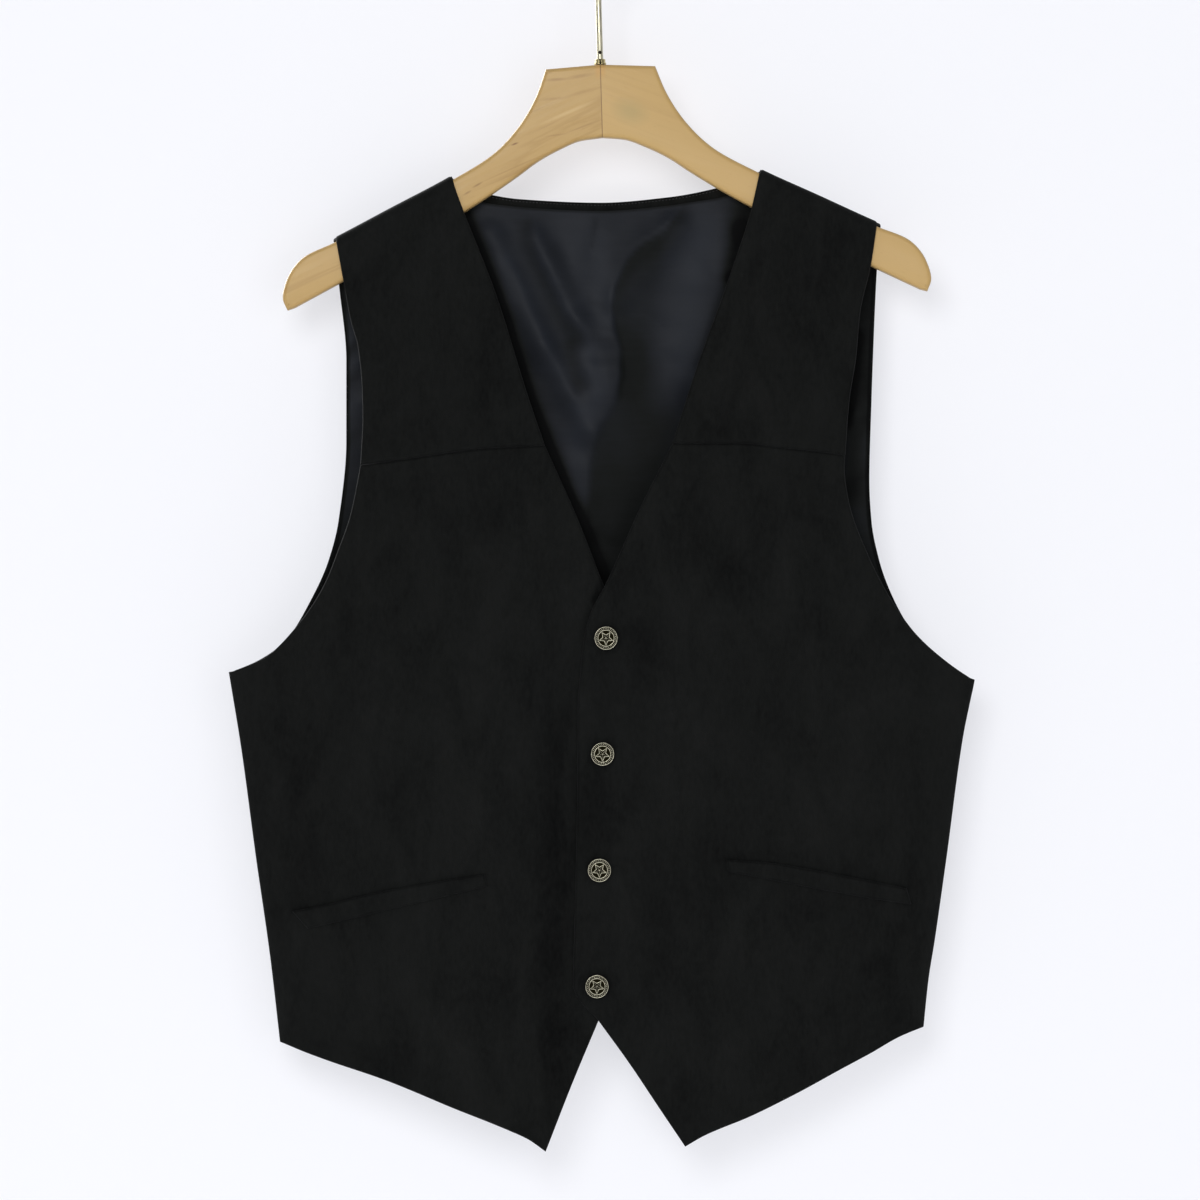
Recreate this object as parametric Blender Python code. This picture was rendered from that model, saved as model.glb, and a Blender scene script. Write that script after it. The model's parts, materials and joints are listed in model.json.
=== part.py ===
"""A black suede V-neck vest hung on a wooden hanger.

Frame: the origin is the point where the hook rests on its rail. +Z is up, -Y is the
front of the vest and +X is the wearer's left, which is on the right seen from the front.
Tables hold millimetres; meshes are made in metres. Heights are measured down from the
rail, and widths of cloth from the vest's centre front line.
"""
import math

import bpy
import bmesh
from mathutils import Matrix, Vector
from mathutils.bvhtree import BVHTree

MM = 0.001

# ---------------------------------------------------------------- driving sizes, in mm
SEAM_GAP = 0.3            # between two pieces that are sewn or that touch
SUEDE = 1.8               # suede with its interlining and seam allowances
SATIN = 1.0               # lining
LINING_GAP = 1.2          # between the lining and the back
YOKE_PROUD = 0.7          # the yoke's turned edge stands above the front
CENTRE_FRONT_X = 2.8      # the vest hangs this far off the hook's line
SIDE_SEAM_ROLL = 1.2      # the walls at a side seam roll outwards by this much

HANGER_TILT = 1.72        # degrees; the wearer's right arm of the hanger hangs lower
HANGER_THICK = 14.0
HANGER_EDGE_ROUND = 2.5
HANGER_EDGE_SEGMENTS = 2
HANGER_STEP = 15.0        # between points along its outline
HANGER_TOP = -100.0       # top of the wood at the centre joint
RIDGE_CLEARANCE = 1.3     # cloth above the wood along the shoulder line
CLOTH_CLEARANCE = 1.0     # cloth in front of the wood and behind it
CURL_HEIGHT = 7.0         # the cloth bends over the arm within this height
CURL_POWER = 3            # roundness of that bend
RIDGE_STEPS = 6           # to find the point of the tilted arm below a given width

HOOK_WIRE = 4.3           # diameter
HOOK_INNER = 18.0         # inner radius of the loop
HOOK_SOCKET = 22.0        # length of wire held inside the wood
HOOK_TIP_ANGLE = 205.0    # where the loop starts, in degrees from +X
HOOK_BEND_ANGLE = -55.0   # where the loop turns back to the stem
HOOK_TIP_STEPS = 26
HOOK_BEND_STEPS = 7
WIRE_SIDES = 10
WIRE_DOME_REACH = 0.6     # the domed ends, in radii of the wire
WIRE_DOME_SIZE = 0.65
DRILL_SIDES = 16
DRILL_OVERRUN = 5.0       # the drill starts this far above the wood
COLLAR_SIDES = 20
# The collar's outside from its foot upwards: (radius, height).
COLLAR_PROFILE = ((4.2, 0.0), (4.2, 1.2), (3.7, 1.6), (3.7, 3.3), (3.3, 3.8))

BUTTON_RADIUS = 8.2
BUTTON_X = (4.2, 1.8, -0.4, -2.1)
BUTTON_Z = (-502.6, -583.1, -663.6, -744.4)
SEAT_REACH = 0.8          # share of a cap's radius at which the cloth's slope is taken
SEAT_SHARES = (0.0, 0.5, 0.85)
SEAT_SIDES = 12

SHARP_ANGLE = 35.0        # degrees; flatter edges are shaded smooth

FRONT_INNER = HANGER_THICK / 2 + CLOTH_CLEARANCE
BACK_INNER = FRONT_INNER + SATIN + LINING_GAP

# ---------------------------------------------------------------- the hanger's outline
# Half of the hanger in its own frame: (x, z). The arm's top runs outwards from the end of
# the plate that carries the hook, and its last two rows turn under at the tip.
HANGER_ARM_TOP = (
    (38.4, -102.2),
    (45.5, -120.5),
    (57.8, -140.8),
    (77.0, -160.5),
    (106.0, -177.6),
    (150.0, -199.3),
    (190.0, -219.0),
    (213.0, -229.5),
    (224.0, -243.5),
    (227.5, -257.0),
    (224.5, -265.5),
)
TIP_ROWS = 2
# The arm's underside, from the tip inwards to the centre joint.
HANGER_ARM_UNDER = (
    (219.5, -264.0),
    (185.0, -246.5),
    (142.0, -223.8),
    (99.5, -201.0),
    (80.0, -189.3),
    (61.0, -177.0),
    (45.0, -166.0),
    (30.0, -158.3),
    (15.0, -152.6),
    (0.0, -151.0),
)

# ---------------------------------------------------------------- outlines of the cloth
# An edge is a list of runs that meet at corners. A run's rows are (station, x, z), with
# the station going from 0 at the edge's start to 1 at its end. Two edges that face each
# other across a panel are joined by rows at equal stations.
RIGHT_YOKE_ARMHOLE = (
    ((0.0, -185.0, -224.0), (0.19, -179.5, -253.0), (0.36, -174.5, -280.0),
     (0.48, -169.5, -298.0), (0.66, -166.5, -327.0), (0.78, -166.0, -346.0),
     (1.0, -167.5, -381.0)),
)
RIGHT_YOKE_NECK = (
    ((0.0, -103.5, -180.0), (0.035, -101.5, -186.5), (0.13, -95.2, -203.7),
     (0.435, -72.8, -261.1), (0.815, -50.4, -332.5), (1.0, -38.5, -367.5)),
)
RIGHT_YOKE_SEAM = (
    ((0.0, -167.5, -381.0), (0.25, -135.0, -377.0), (0.485, -105.0, -372.5),
     (0.69, -78.5, -369.5), (1.0, -38.5, -367.5)),
)
RIGHT_FRONT_OUTER = (
    ((0.0, -167.5, -381.0), (0.07, -174.5, -416.0), (0.12, -182.5, -439.0),
     (0.175, -193.0, -465.0), (0.235, -210.0, -491.0), (0.30, -236.0, -516.5),
     (0.36, -260.5, -526.0)),
    ((0.36, -260.5, -526.0), (0.50, -251.5, -581.0), (0.68, -241.5, -655.0),
     (0.85, -231.5, -725.0), (1.0, -224.5, -785.5)),
)
RIGHT_FRONT_INNER = (
    ((0.0, -38.5, -367.5), (0.11, -14.7, -420.7), (0.20, 2.0, -463.5),
     (0.245, 11.0, -484.0), (0.29, 16.5, -506.0), (0.36, 19.0, -545.0)),
    ((0.36, 19.0, -545.0), (0.747, 19.0, -745.0)),
    ((0.747, 19.0, -745.0), (0.762, 16.0, -752.5), (0.81, -1.0, -769.0)),
    ((0.81, -1.0, -769.0), (0.90, -18.5, -811.0), (1.0, -38.0, -860.5)),
)
RIGHT_HEM = (
    ((0.0, -224.5, -785.5), (0.19, -189.0, -798.0), (0.415, -147.0, -812.0),
     (0.64, -105.0, -829.0), (0.866, -63.0, -846.0), (0.936, -50.0, -852.0),
     (1.0, -38.0, -860.5)),
)
LEFT_YOKE_ARMHOLE = (
    ((0.0, 194.0, -213.0), (0.18, 189.5, -242.0), (0.37, 182.5, -272.5),
     (0.60, 179.0, -308.0), (0.78, 174.5, -336.0), (1.0, 171.5, -374.5)),
)
LEFT_YOKE_NECK = (
    ((0.0, 112.0, -176.0), (0.14, 105.5, -203.0), (0.41, 89.0, -253.5),
     (0.71, 68.5, -310.0), (1.0, 50.5, -366.0)),
)
LEFT_YOKE_SEAM = (
    ((0.0, 171.5, -374.5), (0.07, 163.0, -373.0), (0.37, 126.5, -369.0),
     (0.60, 98.5, -366.0), (1.0, 50.5, -366.0)),
)
LEFT_FRONT_OUTER = (
    ((0.0, 171.5, -374.5), (0.02, 171.0, -383.0), (0.07, 173.5, -404.0),
     (0.165, 189.0, -447.5), (0.26, 217.5, -495.0), (0.32, 244.0, -519.5),
     (0.36, 263.0, -531.5)),
    ((0.36, 263.0, -531.5), (0.46, 254.5, -573.0), (0.66, 243.0, -657.0),
     (0.80, 235.0, -713.0), (0.88, 230.5, -741.5), (1.0, 227.0, -775.0)),
)
LEFT_FRONT_INNER = (
    ((0.0, 50.5, -366.0), (0.13, 28.0, -411.0), (0.24, 3.0, -466.0),
     (0.285, -6.5, -484.0), (0.32, -11.5, -503.5), (0.39, -15.5, -545.0)),
    ((0.39, -15.5, -545.0), (0.53, -16.0, -615.0), (0.65, -17.5, -685.0),
     (0.747, -19.0, -745.0)),
    ((0.747, -19.0, -745.0), (0.762, -16.0, -752.5), (0.81, -1.0, -769.0)),
    ((0.81, -1.0, -769.0), (0.88, 21.0, -799.5), (0.94, 40.0, -828.0),
     (1.0, 59.5, -857.0)),
)
LEFT_HEM = (
    ((0.0, 227.0, -775.0), (0.10, 210.0, -781.0), (0.227, 189.0, -792.5),
     (0.352, 168.0, -803.5), (0.54, 136.5, -820.5), (0.728, 105.0, -836.0),
     (0.916, 73.5, -849.0), (1.0, 59.5, -857.0)),
)
BACK_RIGHT_EDGE = (
    ((0.0, -187.0, -223.0), (0.055, -183.5, -255.0), (0.145, -178.5, -307.5),
     (0.24, -178.5, -363.5), (0.33, -184.0, -419.5), (0.38, -191.0, -447.5),
     (0.43, -203.5, -475.5), (0.485, -221.0, -503.5), (0.525, -240.5, -518.0),
     (0.56, -260.5, -526.0)),
    ((0.56, -260.5, -526.0), (0.655, -251.5, -581.0), (0.78, -241.5, -655.0),
     (0.90, -231.5, -725.0), (1.0, -224.5, -785.5)),
)
BACK_LEFT_EDGE = (
    ((0.0, 197.0, -214.0), (0.055, 194.5, -249.0), (0.135, 192.5, -293.5),
     (0.21, 191.0, -335.5), (0.30, 189.5, -391.5), (0.345, 191.0, -419.5),
     (0.395, 196.5, -447.5), (0.445, 207.0, -475.5), (0.50, 224.5, -503.5),
     (0.53, 242.0, -518.0), (0.56, 263.0, -531.5)),
    ((0.56, 263.0, -531.5), (0.63, 254.5, -573.0), (0.775, 243.0, -657.0),
     (0.87, 235.0, -713.0), (0.925, 230.5, -741.5), (1.0, 227.0, -775.0)),
)
BACK_NECK = (
    (0.22, -103.5, -180.0), (0.285, -77.5, -190.0), (0.34, -56.0, -193.3),
    (0.485, 0.0, -195.8), (0.61, 47.5, -192.0), (0.695, 80.0, -186.0),
    (0.78, 112.0, -176.0),
)
BACK_HEM = (
    ((0.0, -224.5, -785.5), (0.25, -112.0, -771.0), (0.5, 2.0, -762.0),
     (0.75, 115.0, -766.0), (1.0, 227.0, -775.0)),
)
SHOULDER_SHARE = 0.22     # of the back's top edge, each side

# ---------------------------------------------------------------- how far the cloth stands out
# (height, distance of the wall's inner face from the seam plane at y = 0)
FRONT_SWELL = (
    (-150.0, FRONT_INNER), (-262.0, FRONT_INNER + 0.5), (-330.0, 13.0), (-380.0, 17.0),
    (-460.0, 21.0), (-545.0, 23.0), (-650.0, 24.0), (-750.0, 23.0), (-870.0, 20.0),
)
BACK_SWELL = (
    (-100.0, BACK_INNER), (-262.0, BACK_INNER + 0.4), (-330.0, 11.5), (-420.0, 13.0),
    (-526.0, 14.5), (-650.0, 15.5), (-790.0, 13.5),
)
ARMHOLE_TOP = -262.0      # above this the cloth lies flat against the wood's faces
LENS_TOP = -380.0         # below this the vest is a full lens
UNDERARM = -528.0         # at this height front and back meet
UNDERARM_X = (-260.5, 263.0)
SWELL_WIDTH = 200.0       # from a side seam to where the cloth stands fully out
LENS_POWER = 2.6          # how full the lens is towards its middle
LENS_ROOT = 0.62          # how steeply it opens at a side seam
FOLD_FADE = 40.0          # folds die out over this width at a side seam
ROLL_WIDTH = 20.0         # width and height over which the side seam's roll sets in
YOKE_LIFT_START = 0.8     # station from which the yoke lifts to its turned edge

# A fold is a soft ridge along a line: (x, z) at both ends, half width, height outwards.
FRONT_RIGHT_FOLDS = (
    ((-103.0, -505.0), (-72.0, -530.0), 9.0, -0.9),
    ((-120.0, -640.0), (-100.0, -830.0), 26.0, 1.6),
    ((-170.0, -600.0), (-160.0, -800.0), 20.0, -1.4),
)
FRONT_LEFT_FOLDS = (
    ((171.0, -640.0), (158.0, -755.0), 13.0, -1.3),
    ((54.0, -640.0), (56.0, -830.0), 15.0, 1.4),
    ((110.0, -560.0), (104.0, -820.0), 24.0, -1.2),
)
BACK_FOLDS = (
    ((-62.0, -330.0), (-84.0, -720.0), 26.0, 2.6),
    ((6.0, -300.0), (2.0, -740.0), 24.0, -1.8),
    ((84.0, -340.0), (104.0, -700.0), 24.0, 2.8),
    ((-140.0, -470.0), (-150.0, -760.0), 20.0, -1.6),
    ((152.0, -480.0), (160.0, -750.0), 20.0, -1.6),
)
LINING_FOLDS = (
    ((-79.0, -218.0), (-40.0, -298.0), 10.0, 3.0),
    ((-40.0, -298.0), (-8.0, -356.0), 10.0, 2.2),
    ((-46.0, -222.0), (-17.0, -278.0), 9.0, 2.4),
    ((-17.0, -278.0), (-3.0, -330.0), 9.0, 1.6),
    ((56.0, -214.0), (16.0, -262.0), 10.0, 2.4),
    ((86.0, -240.0), (44.0, -330.0), 13.0, 2.8),
    ((44.0, -330.0), (8.0, -420.0), 13.0, 2.2),
)

# The under front dips behind the lap, which leaves a trough beside the top front's edge.
LAP_DIP = 3.6
LAP_DIP_START = -46.0
LAP_DIP_FULL = -20.0

# Welt strips: upper edge and lower edge, each (x, z) from the side seam inwards.
RIGHT_WELT = (
    ((-215.5, -693.0), (-191.0, -688.0), (-153.5, -679.0), (-106.5, -670.5), (-80.5, -666.5)),
    ((-204.5, -705.0), (-187.0, -701.0), (-151.0, -692.5), (-106.0, -681.5), (-78.5, -675.0)),
)
LEFT_WELT = (
    ((214.5, -677.0), (188.5, -671.5), (145.0, -663.0), (117.5, -658.5), (88.0, -656.5)),
    ((218.0, -688.5), (190.5, -684.0), (146.5, -676.0), (117.0, -670.0), (90.0, -665.0)),
)
WELT_THICK = 1.6
WELT_GAP = 0.6

# Stations where rows and columns of points are laid.
YOKE_ROWS = (0.0, 0.0038, 0.0105, 0.021, 0.041, 0.13, 0.24, 0.36, 0.48, 0.60, 0.72, 0.86, 1.0)
FRONT_ROWS = (
    0.0, 0.035, 0.07, 0.12, 0.175, 0.235, 0.27, 0.30, 0.33, 0.36, 0.42, 0.48, 0.54,
    0.60, 0.66, 0.705, 0.747, 0.762, 0.81, 0.86, 0.905, 0.955, 1.0,
)
FRONT_COLUMNS = (
    0.0, 0.012, 0.04, 0.09, 0.16, 0.24, 0.33, 0.42, 0.51, 0.60, 0.69, 0.77, 0.83,
    0.88, 0.92, 0.96, 1.0,
)
BACK_ROWS = (
    0.0, 0.0011, 0.0032, 0.0064, 0.0128, 0.055, 0.10, 0.145, 0.19, 0.24, 0.285, 0.33,
    0.38, 0.43, 0.485, 0.525, 0.56, 0.62, 0.69, 0.76, 0.83, 0.90, 0.95, 1.0,
)
BACK_COLUMNS = (
    0.0, 0.012, 0.04, 0.09, 0.15, 0.22, 0.2215, 0.2241, 0.2281, 0.236, 0.27, 0.32, 0.37,
    0.43, 0.485, 0.54, 0.60, 0.65, 0.70, 0.735, 0.764, 0.7719, 0.7759, 0.7785, 0.78,
    0.85, 0.91, 0.96, 0.988, 1.0,
)
LINING_ROWS = (
    0.0140, 0.035, 0.06, 0.09, 0.12, 0.15, 0.18, 0.21, 0.245, 0.285, 0.33, 0.38, 0.43,
    0.485, 0.525, 0.56, 0.62, 0.69, 0.76, 0.83, 0.90, 0.95, 0.988,
)
LINING_COLUMNS = (
    0.022, 0.05, 0.09, 0.15, 0.22, 0.27, 0.30, 0.33, 0.36, 0.39, 0.42, 0.45, 0.48,
    0.51, 0.54, 0.57, 0.60, 0.64, 0.68, 0.72, 0.78, 0.85, 0.91, 0.95, 0.978,
)
WELT_COLUMNS = 9
WELT_ROWS = 3


# ---------------------------------------------------------------- curves through tables
def slope_at(stations, values, i):
    """Slope at knot i that never overshoots its neighbours."""
    last = len(stations) - 1
    if i == 0:
        return (values[1] - values[0]) / (stations[1] - stations[0])
    if i == last:
        return (values[last] - values[last - 1]) / (stations[last] - stations[last - 1])
    before = (values[i] - values[i - 1]) / (stations[i] - stations[i - 1])
    after = (values[i + 1] - values[i]) / (stations[i + 1] - stations[i])
    if before * after <= 0:
        return 0.0
    return 2 * before * after / (before + after)


def curve_value(stations, values, at):
    """Value of a smooth curve through the knots, held level past both ends."""
    if at <= stations[0]:
        return values[0]
    if at >= stations[-1]:
        return values[-1]
    i = 0
    while stations[i + 1] < at:
        i += 1
    step = stations[i + 1] - stations[i]
    t = (at - stations[i]) / step
    rise_in = slope_at(stations, values, i) * step
    rise_out = slope_at(stations, values, i + 1) * step
    return (
        (2 * t**3 - 3 * t**2 + 1) * values[i]
        + (t**3 - 2 * t**2 + t) * rise_in
        + (3 * t**2 - 2 * t**3) * values[i + 1]
        + (t**3 - t**2) * rise_out
    )


def run_point(run, at):
    """Point (x, z) of one run at a station."""
    stations = [row[0] for row in run]
    x = curve_value(stations, [row[1] for row in run], at)
    z = curve_value(stations, [row[2] for row in run], at)
    return (x, z)


def edge_point(runs, at):
    """Point (x, z) of an edge made of runs."""
    for run in runs:
        if at <= run[-1][0]:
            return run_point(run, at)
    return run_point(runs[-1], at)


def smooth_step(value, start, end):
    """0 before start, 1 after end, smooth between."""
    t = min(max((value - start) / (end - start), 0.0), 1.0)
    return t * t * (3 - 2 * t)


def patch_point(first, last, top, bottom, u, v):
    """Point (x, z) of a panel between four edges, u across it and v down it."""
    a = edge_point(first, v)
    b = edge_point(last, v)
    c = top(u)
    d = bottom(u)
    corners = (edge_point(first, 0.0), edge_point(last, 0.0),
               edge_point(first, 1.0), edge_point(last, 1.0))
    shares = ((1 - u) * (1 - v), u * (1 - v), (1 - u) * v, u * v)
    point = []
    for axis in range(2):
        across = (1 - u) * a[axis] + u * b[axis]
        down = (1 - v) * c[axis] + v * d[axis]
        flat = sum(share * corner[axis] for share, corner in zip(shares, corners))
        point.append(across + down - flat)
    return tuple(point)


# ---------------------------------------------------------------- the hanger's top line
def tilted(x, z):
    """A point of the hanger's own frame, in the vest's frame."""
    tilt = math.radians(HANGER_TILT)
    world_x = x * math.cos(tilt) - z * math.sin(tilt)
    world_z = x * math.sin(tilt) + z * math.cos(tilt)
    return (world_x - CENTRE_FRONT_X, world_z)


def hanger_half_height(x):
    """Height of the wood's top edge at a distance from its centre."""
    rows = HANGER_ARM_TOP[:-TIP_ROWS]
    if x < rows[0][0]:
        return rows[0][1]
    return curve_value([row[0] for row in rows], [row[1] for row in rows], x)


def ridge_height(x):
    """Height of the cloth's inner face where it lies over the hanger, at width x."""
    side = 1.0 if x > 0 else -1.0
    reach = abs(x)
    for _ in range(RIDGE_STEPS):
        found_x, found_z = tilted(side * reach, hanger_half_height(reach))
        reach += side * (x - found_x)
    return found_z + RIDGE_CLEARANCE


def curl(drop, reach):
    """Distance from the seam plane at a drop below the shoulder line."""
    if drop >= CURL_HEIGHT:
        return reach
    share = 1 - max(drop, 0.0) / CURL_HEIGHT
    return max(reach * (1 - share**CURL_POWER) ** (1 / CURL_POWER), SEAM_GAP / 2)


# ---------------------------------------------------------------- depth of the cloth
def table_value(table, at):
    """Value from a table that runs down from the shoulders."""
    stations = [-row[0] for row in table]
    return curve_value(stations, [row[1] for row in table], -at)


def fold_height(folds, x, z):
    """Sum of the folds at a place."""
    total = 0.0
    for start, end, half_width, height in folds:
        line = Vector((end[0] - start[0], end[1] - start[1]))
        offset = Vector((x - start[0], z - start[1]))
        along = min(max(offset.dot(line) / line.length_squared, 0.0), 1.0)
        distance = (offset - line * along).length
        total += height * math.exp(-((distance / half_width) ** 2))
    return total


def stand_off(z, from_side, swell):
    """Distance of a wall's inner face from the seam plane.

    The tube of the vest is a lens: closed at its side seams, fullest in the middle. Near
    the hanger it is flat, as far off as the wood's faces.
    """
    share = min(max(from_side, 0.0) / SWELL_WIDTH, 1.0)
    rise = (1 - (1 - share) ** LENS_POWER) ** LENS_ROOT
    at_wood = 1 - smooth_step(-z, -ARMHOLE_TOP, -LENS_TOP)
    rise += (1 - rise) * at_wood
    closed = SEAM_GAP / 2
    return closed + (table_value(swell, z) - closed) * rise


def wall_depth(x, z, from_side, swell, folds):
    """Distance of a wall's inner face from the seam plane, with folds and shoulder."""
    fade = smooth_step(from_side, 0.0, FOLD_FADE)
    reach = stand_off(z, from_side, swell) + fold_height(folds, x, z) * fade
    return curl(ridge_height(x) - z, reach)


def side_roll(x, z, from_side):
    """Shift in x that keeps the outer face of a side seam on its outline."""
    roll = SIDE_SEAM_ROLL * smooth_step(-z, -UNDERARM - ROLL_WIDTH, -UNDERARM)
    roll *= 1 - smooth_step(from_side, 0.0, ROLL_WIDTH)
    return roll if x < 0 else -roll


# ---------------------------------------------------------------- meshes
def material(name, colour, roughness, metallic=0.0):
    """A plain finish."""
    made = bpy.data.materials.new(name)
    made.use_nodes = True
    shader = made.node_tree.nodes["Principled BSDF"]
    shader.inputs["Base Color"].default_value = (*colour, 1.0)
    shader.inputs["Roughness"].default_value = roughness
    shader.inputs["Metallic"].default_value = metallic
    return made


def mesh_from(bm, name):
    """A mesh with its faces pointing out."""
    bmesh.ops.recalc_face_normals(bm, faces=bm.faces)
    mesh = bpy.data.meshes.new(name)
    bm.to_mesh(mesh)
    bm.free()
    return mesh


def add_object(name, mesh, finish=None, x=0.0):
    """Put a mesh in the scene; a finish is given once to a mesh that objects share."""
    if finish:
        mesh.materials.append(finish)
    mesh.shade_smooth()
    mesh.set_sharp_from_angle(angle=math.radians(SHARP_ANGLE))
    made = bpy.data.objects.new(name, mesh)
    bpy.context.scene.collection.objects.link(made)
    made.location = (x * MM, 0.0, 0.0)
    return made


def grid_normals(grid, facing):
    """Unit normals of a grid of points, on the side that facing points to."""
    rows = len(grid)
    columns = len(grid[0])
    normals = []
    for i in range(rows):
        line = []
        for j in range(columns):
            down = grid[min(i + 1, rows - 1)][j] - grid[max(i - 1, 0)][j]
            across = grid[i][min(j + 1, columns - 1)] - grid[i][max(j - 1, 0)]
            normal = down.cross(across).normalized()
            if normal.dot(facing) < 0:
                normal.negate()
            line.append(normal)
        normals.append(line)
    return normals


def wall_mesh(name, inner, outer):
    """A closed wall between two grids of points, in mm."""
    rows = len(inner)
    columns = len(inner[0])
    bm = bmesh.new()
    sheets = []
    for grid in (inner, outer):
        sheets.append([[bm.verts.new(point * MM) for point in line] for line in grid])
    near, far = sheets
    for i in range(rows - 1):
        for j in range(columns - 1):
            for sheet in sheets:
                bm.faces.new((sheet[i][j], sheet[i][j + 1], sheet[i + 1][j + 1], sheet[i + 1][j]))
    for i in range(rows - 1):
        for j in (0, columns - 1):
            bm.faces.new((near[i][j], near[i + 1][j], far[i + 1][j], far[i][j]))
    for j in range(columns - 1):
        for i in (0, rows - 1):
            bm.faces.new((near[i][j], near[i][j + 1], far[i][j + 1], far[i][j]))
    return mesh_from(bm, name)


def cloth(name, inner, thickness, facing, finish):
    """A panel: its inner points, and the same points moved out along their normals."""
    normals = grid_normals(inner, facing)
    outer = [
        [point + normal * thickness for point, normal in zip(line, directions)]
        for line, directions in zip(inner, normals)
    ]
    return add_object(name, wall_mesh(name, inner, outer), finish, CENTRE_FRONT_X)


# The outer side of a front and of the back; the small rise decides it on the shoulder's top.
FORWARD = Vector((0.0, -1.0, 0.15))
BACKWARD = Vector((0.0, 1.0, 0.15))


# ---------------------------------------------------------------- the fronts
def side_x(outer, v):
    """Width of the side seam at a station, carried straight up above the underarm."""
    return edge_point(outer, max(v, outer[-1][0][0]))[0]


def shoulder_line(outer, inner):
    """The top edge of a yoke, lying on the hanger."""
    def point(u):
        x = outer[0][0][1] + (inner[0][0][1] - outer[0][0][1]) * u
        return (x, ridge_height(x))
    return point


def on_ridge(runs):
    """An edge whose first knot lies on the shoulder line."""
    station, x, _ = runs[0][0]
    return (((station, x, ridge_height(x)), *runs[0][1:]), *runs[1:])


def yoke(name, armhole, neck, seam, folds, finish):
    """A front yoke, from the shoulder seam to the yoke seam."""
    armhole = on_ridge(armhole)
    neck = on_ridge(neck)
    top = shoulder_line(armhole, neck)
    grid = []
    for v in YOKE_ROWS:
        line = []
        for u in FRONT_COLUMNS:
            x, z = patch_point(armhole, neck, top, lambda at: edge_point(seam, at), u, v)
            from_side = abs(x - UNDERARM_X[x > 0])
            depth = wall_depth(x, z, from_side, FRONT_SWELL, folds)
            depth += YOKE_PROUD * smooth_step(v, YOKE_LIFT_START, 1.0)
            line.append(Vector((x, -depth, z + SEAM_GAP / 2 * v)))
        grid.append(line)
    return cloth(name, grid, SUEDE, FORWARD, finish)


def front(name, outer, inner, seam, hem, folds, dips, finish):
    """A front below the yoke seam; the one that goes under dips behind the lap."""
    grid = []
    for v in FRONT_ROWS:
        line = []
        for u in FRONT_COLUMNS:
            x, z = patch_point(outer, inner, lambda at: edge_point(seam, at),
                               lambda at: edge_point(hem, at), u, v)
            from_side = abs(x - side_x(outer, v))
            depth = wall_depth(x, z, from_side, FRONT_SWELL, folds)
            if dips:
                depth -= LAP_DIP * smooth_step(x, LAP_DIP_START, LAP_DIP_FULL)
            x += side_roll(x, z, from_side)
            line.append(Vector((x, -depth, z - SEAM_GAP / 2 * (1 - v))))
        grid.append(line)
    return cloth(name, grid, SUEDE, FORWARD, finish)


# ---------------------------------------------------------------- the back and its lining
def back_top(u):
    """The back's top edge: a shoulder, the neck and the other shoulder."""
    first_x = BACK_RIGHT_EDGE[0][0][1]
    last_x = BACK_LEFT_EDGE[0][0][1]
    if u < SHOULDER_SHARE:
        x = first_x + (BACK_NECK[0][1] - first_x) * u / SHOULDER_SHARE
        return (x, ridge_height(x))
    if u > 1 - SHOULDER_SHARE:
        x = last_x + (BACK_NECK[-1][1] - last_x) * (1 - u) / SHOULDER_SHARE
        return (x, ridge_height(x))
    first = (BACK_NECK[0][0], BACK_NECK[0][1], ridge_height(BACK_NECK[0][1]))
    last = (BACK_NECK[-1][0], BACK_NECK[-1][1], ridge_height(BACK_NECK[-1][1]))
    return run_point((first, *BACK_NECK[1:-1], last), u)


def back_points(rows, columns):
    """Inner points of the back at the stations given."""
    first = on_ridge(BACK_RIGHT_EDGE)
    last = on_ridge(BACK_LEFT_EDGE)
    grid = []
    for v in rows:
        line = []
        for u in columns:
            x, z = patch_point(first, last, back_top, lambda at: edge_point(BACK_HEM, at), u, v)
            from_side = min(x - side_x(first, v), side_x(last, v) - x)
            depth = wall_depth(x, z, from_side, BACK_SWELL, BACK_FOLDS)
            x += side_roll(x, z, from_side)
            line.append(Vector((x, depth, z)))
        grid.append(line)
    return grid


def back_lining(finish):
    """The lining: the back's inner points moved in, with the folds that show at the neck."""
    points = back_points(LINING_ROWS, LINING_COLUMNS)
    normals = grid_normals(points, BACKWARD)
    inner = []
    for line, directions in zip(points, normals):
        inner_line = []
        for point, normal in zip(line, directions):
            moved = point - normal * (LINING_GAP + SATIN)
            moved.y -= fold_height(LINING_FOLDS, point.x, point.z)
            inner_line.append(moved)
        inner.append(inner_line)
    return cloth("back_lining", inner, SATIN, BACKWARD, finish)


# ---------------------------------------------------------------- what lies on the fronts
def seat_on(panel):
    """A function that gives the depth of a panel's outer face at (x, z), in mm."""
    panel_faces = bmesh.new()
    panel_faces.from_mesh(panel.data)
    tree = BVHTree.FromBMesh(panel_faces)
    panel_faces.free()

    def depth(x, z):
        start = Vector((x * MM, -1.0, z * MM))
        hit = tree.ray_cast(start, Vector((0.0, 1.0, 0.0)))[0]
        return hit.y / MM
    return depth


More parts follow.
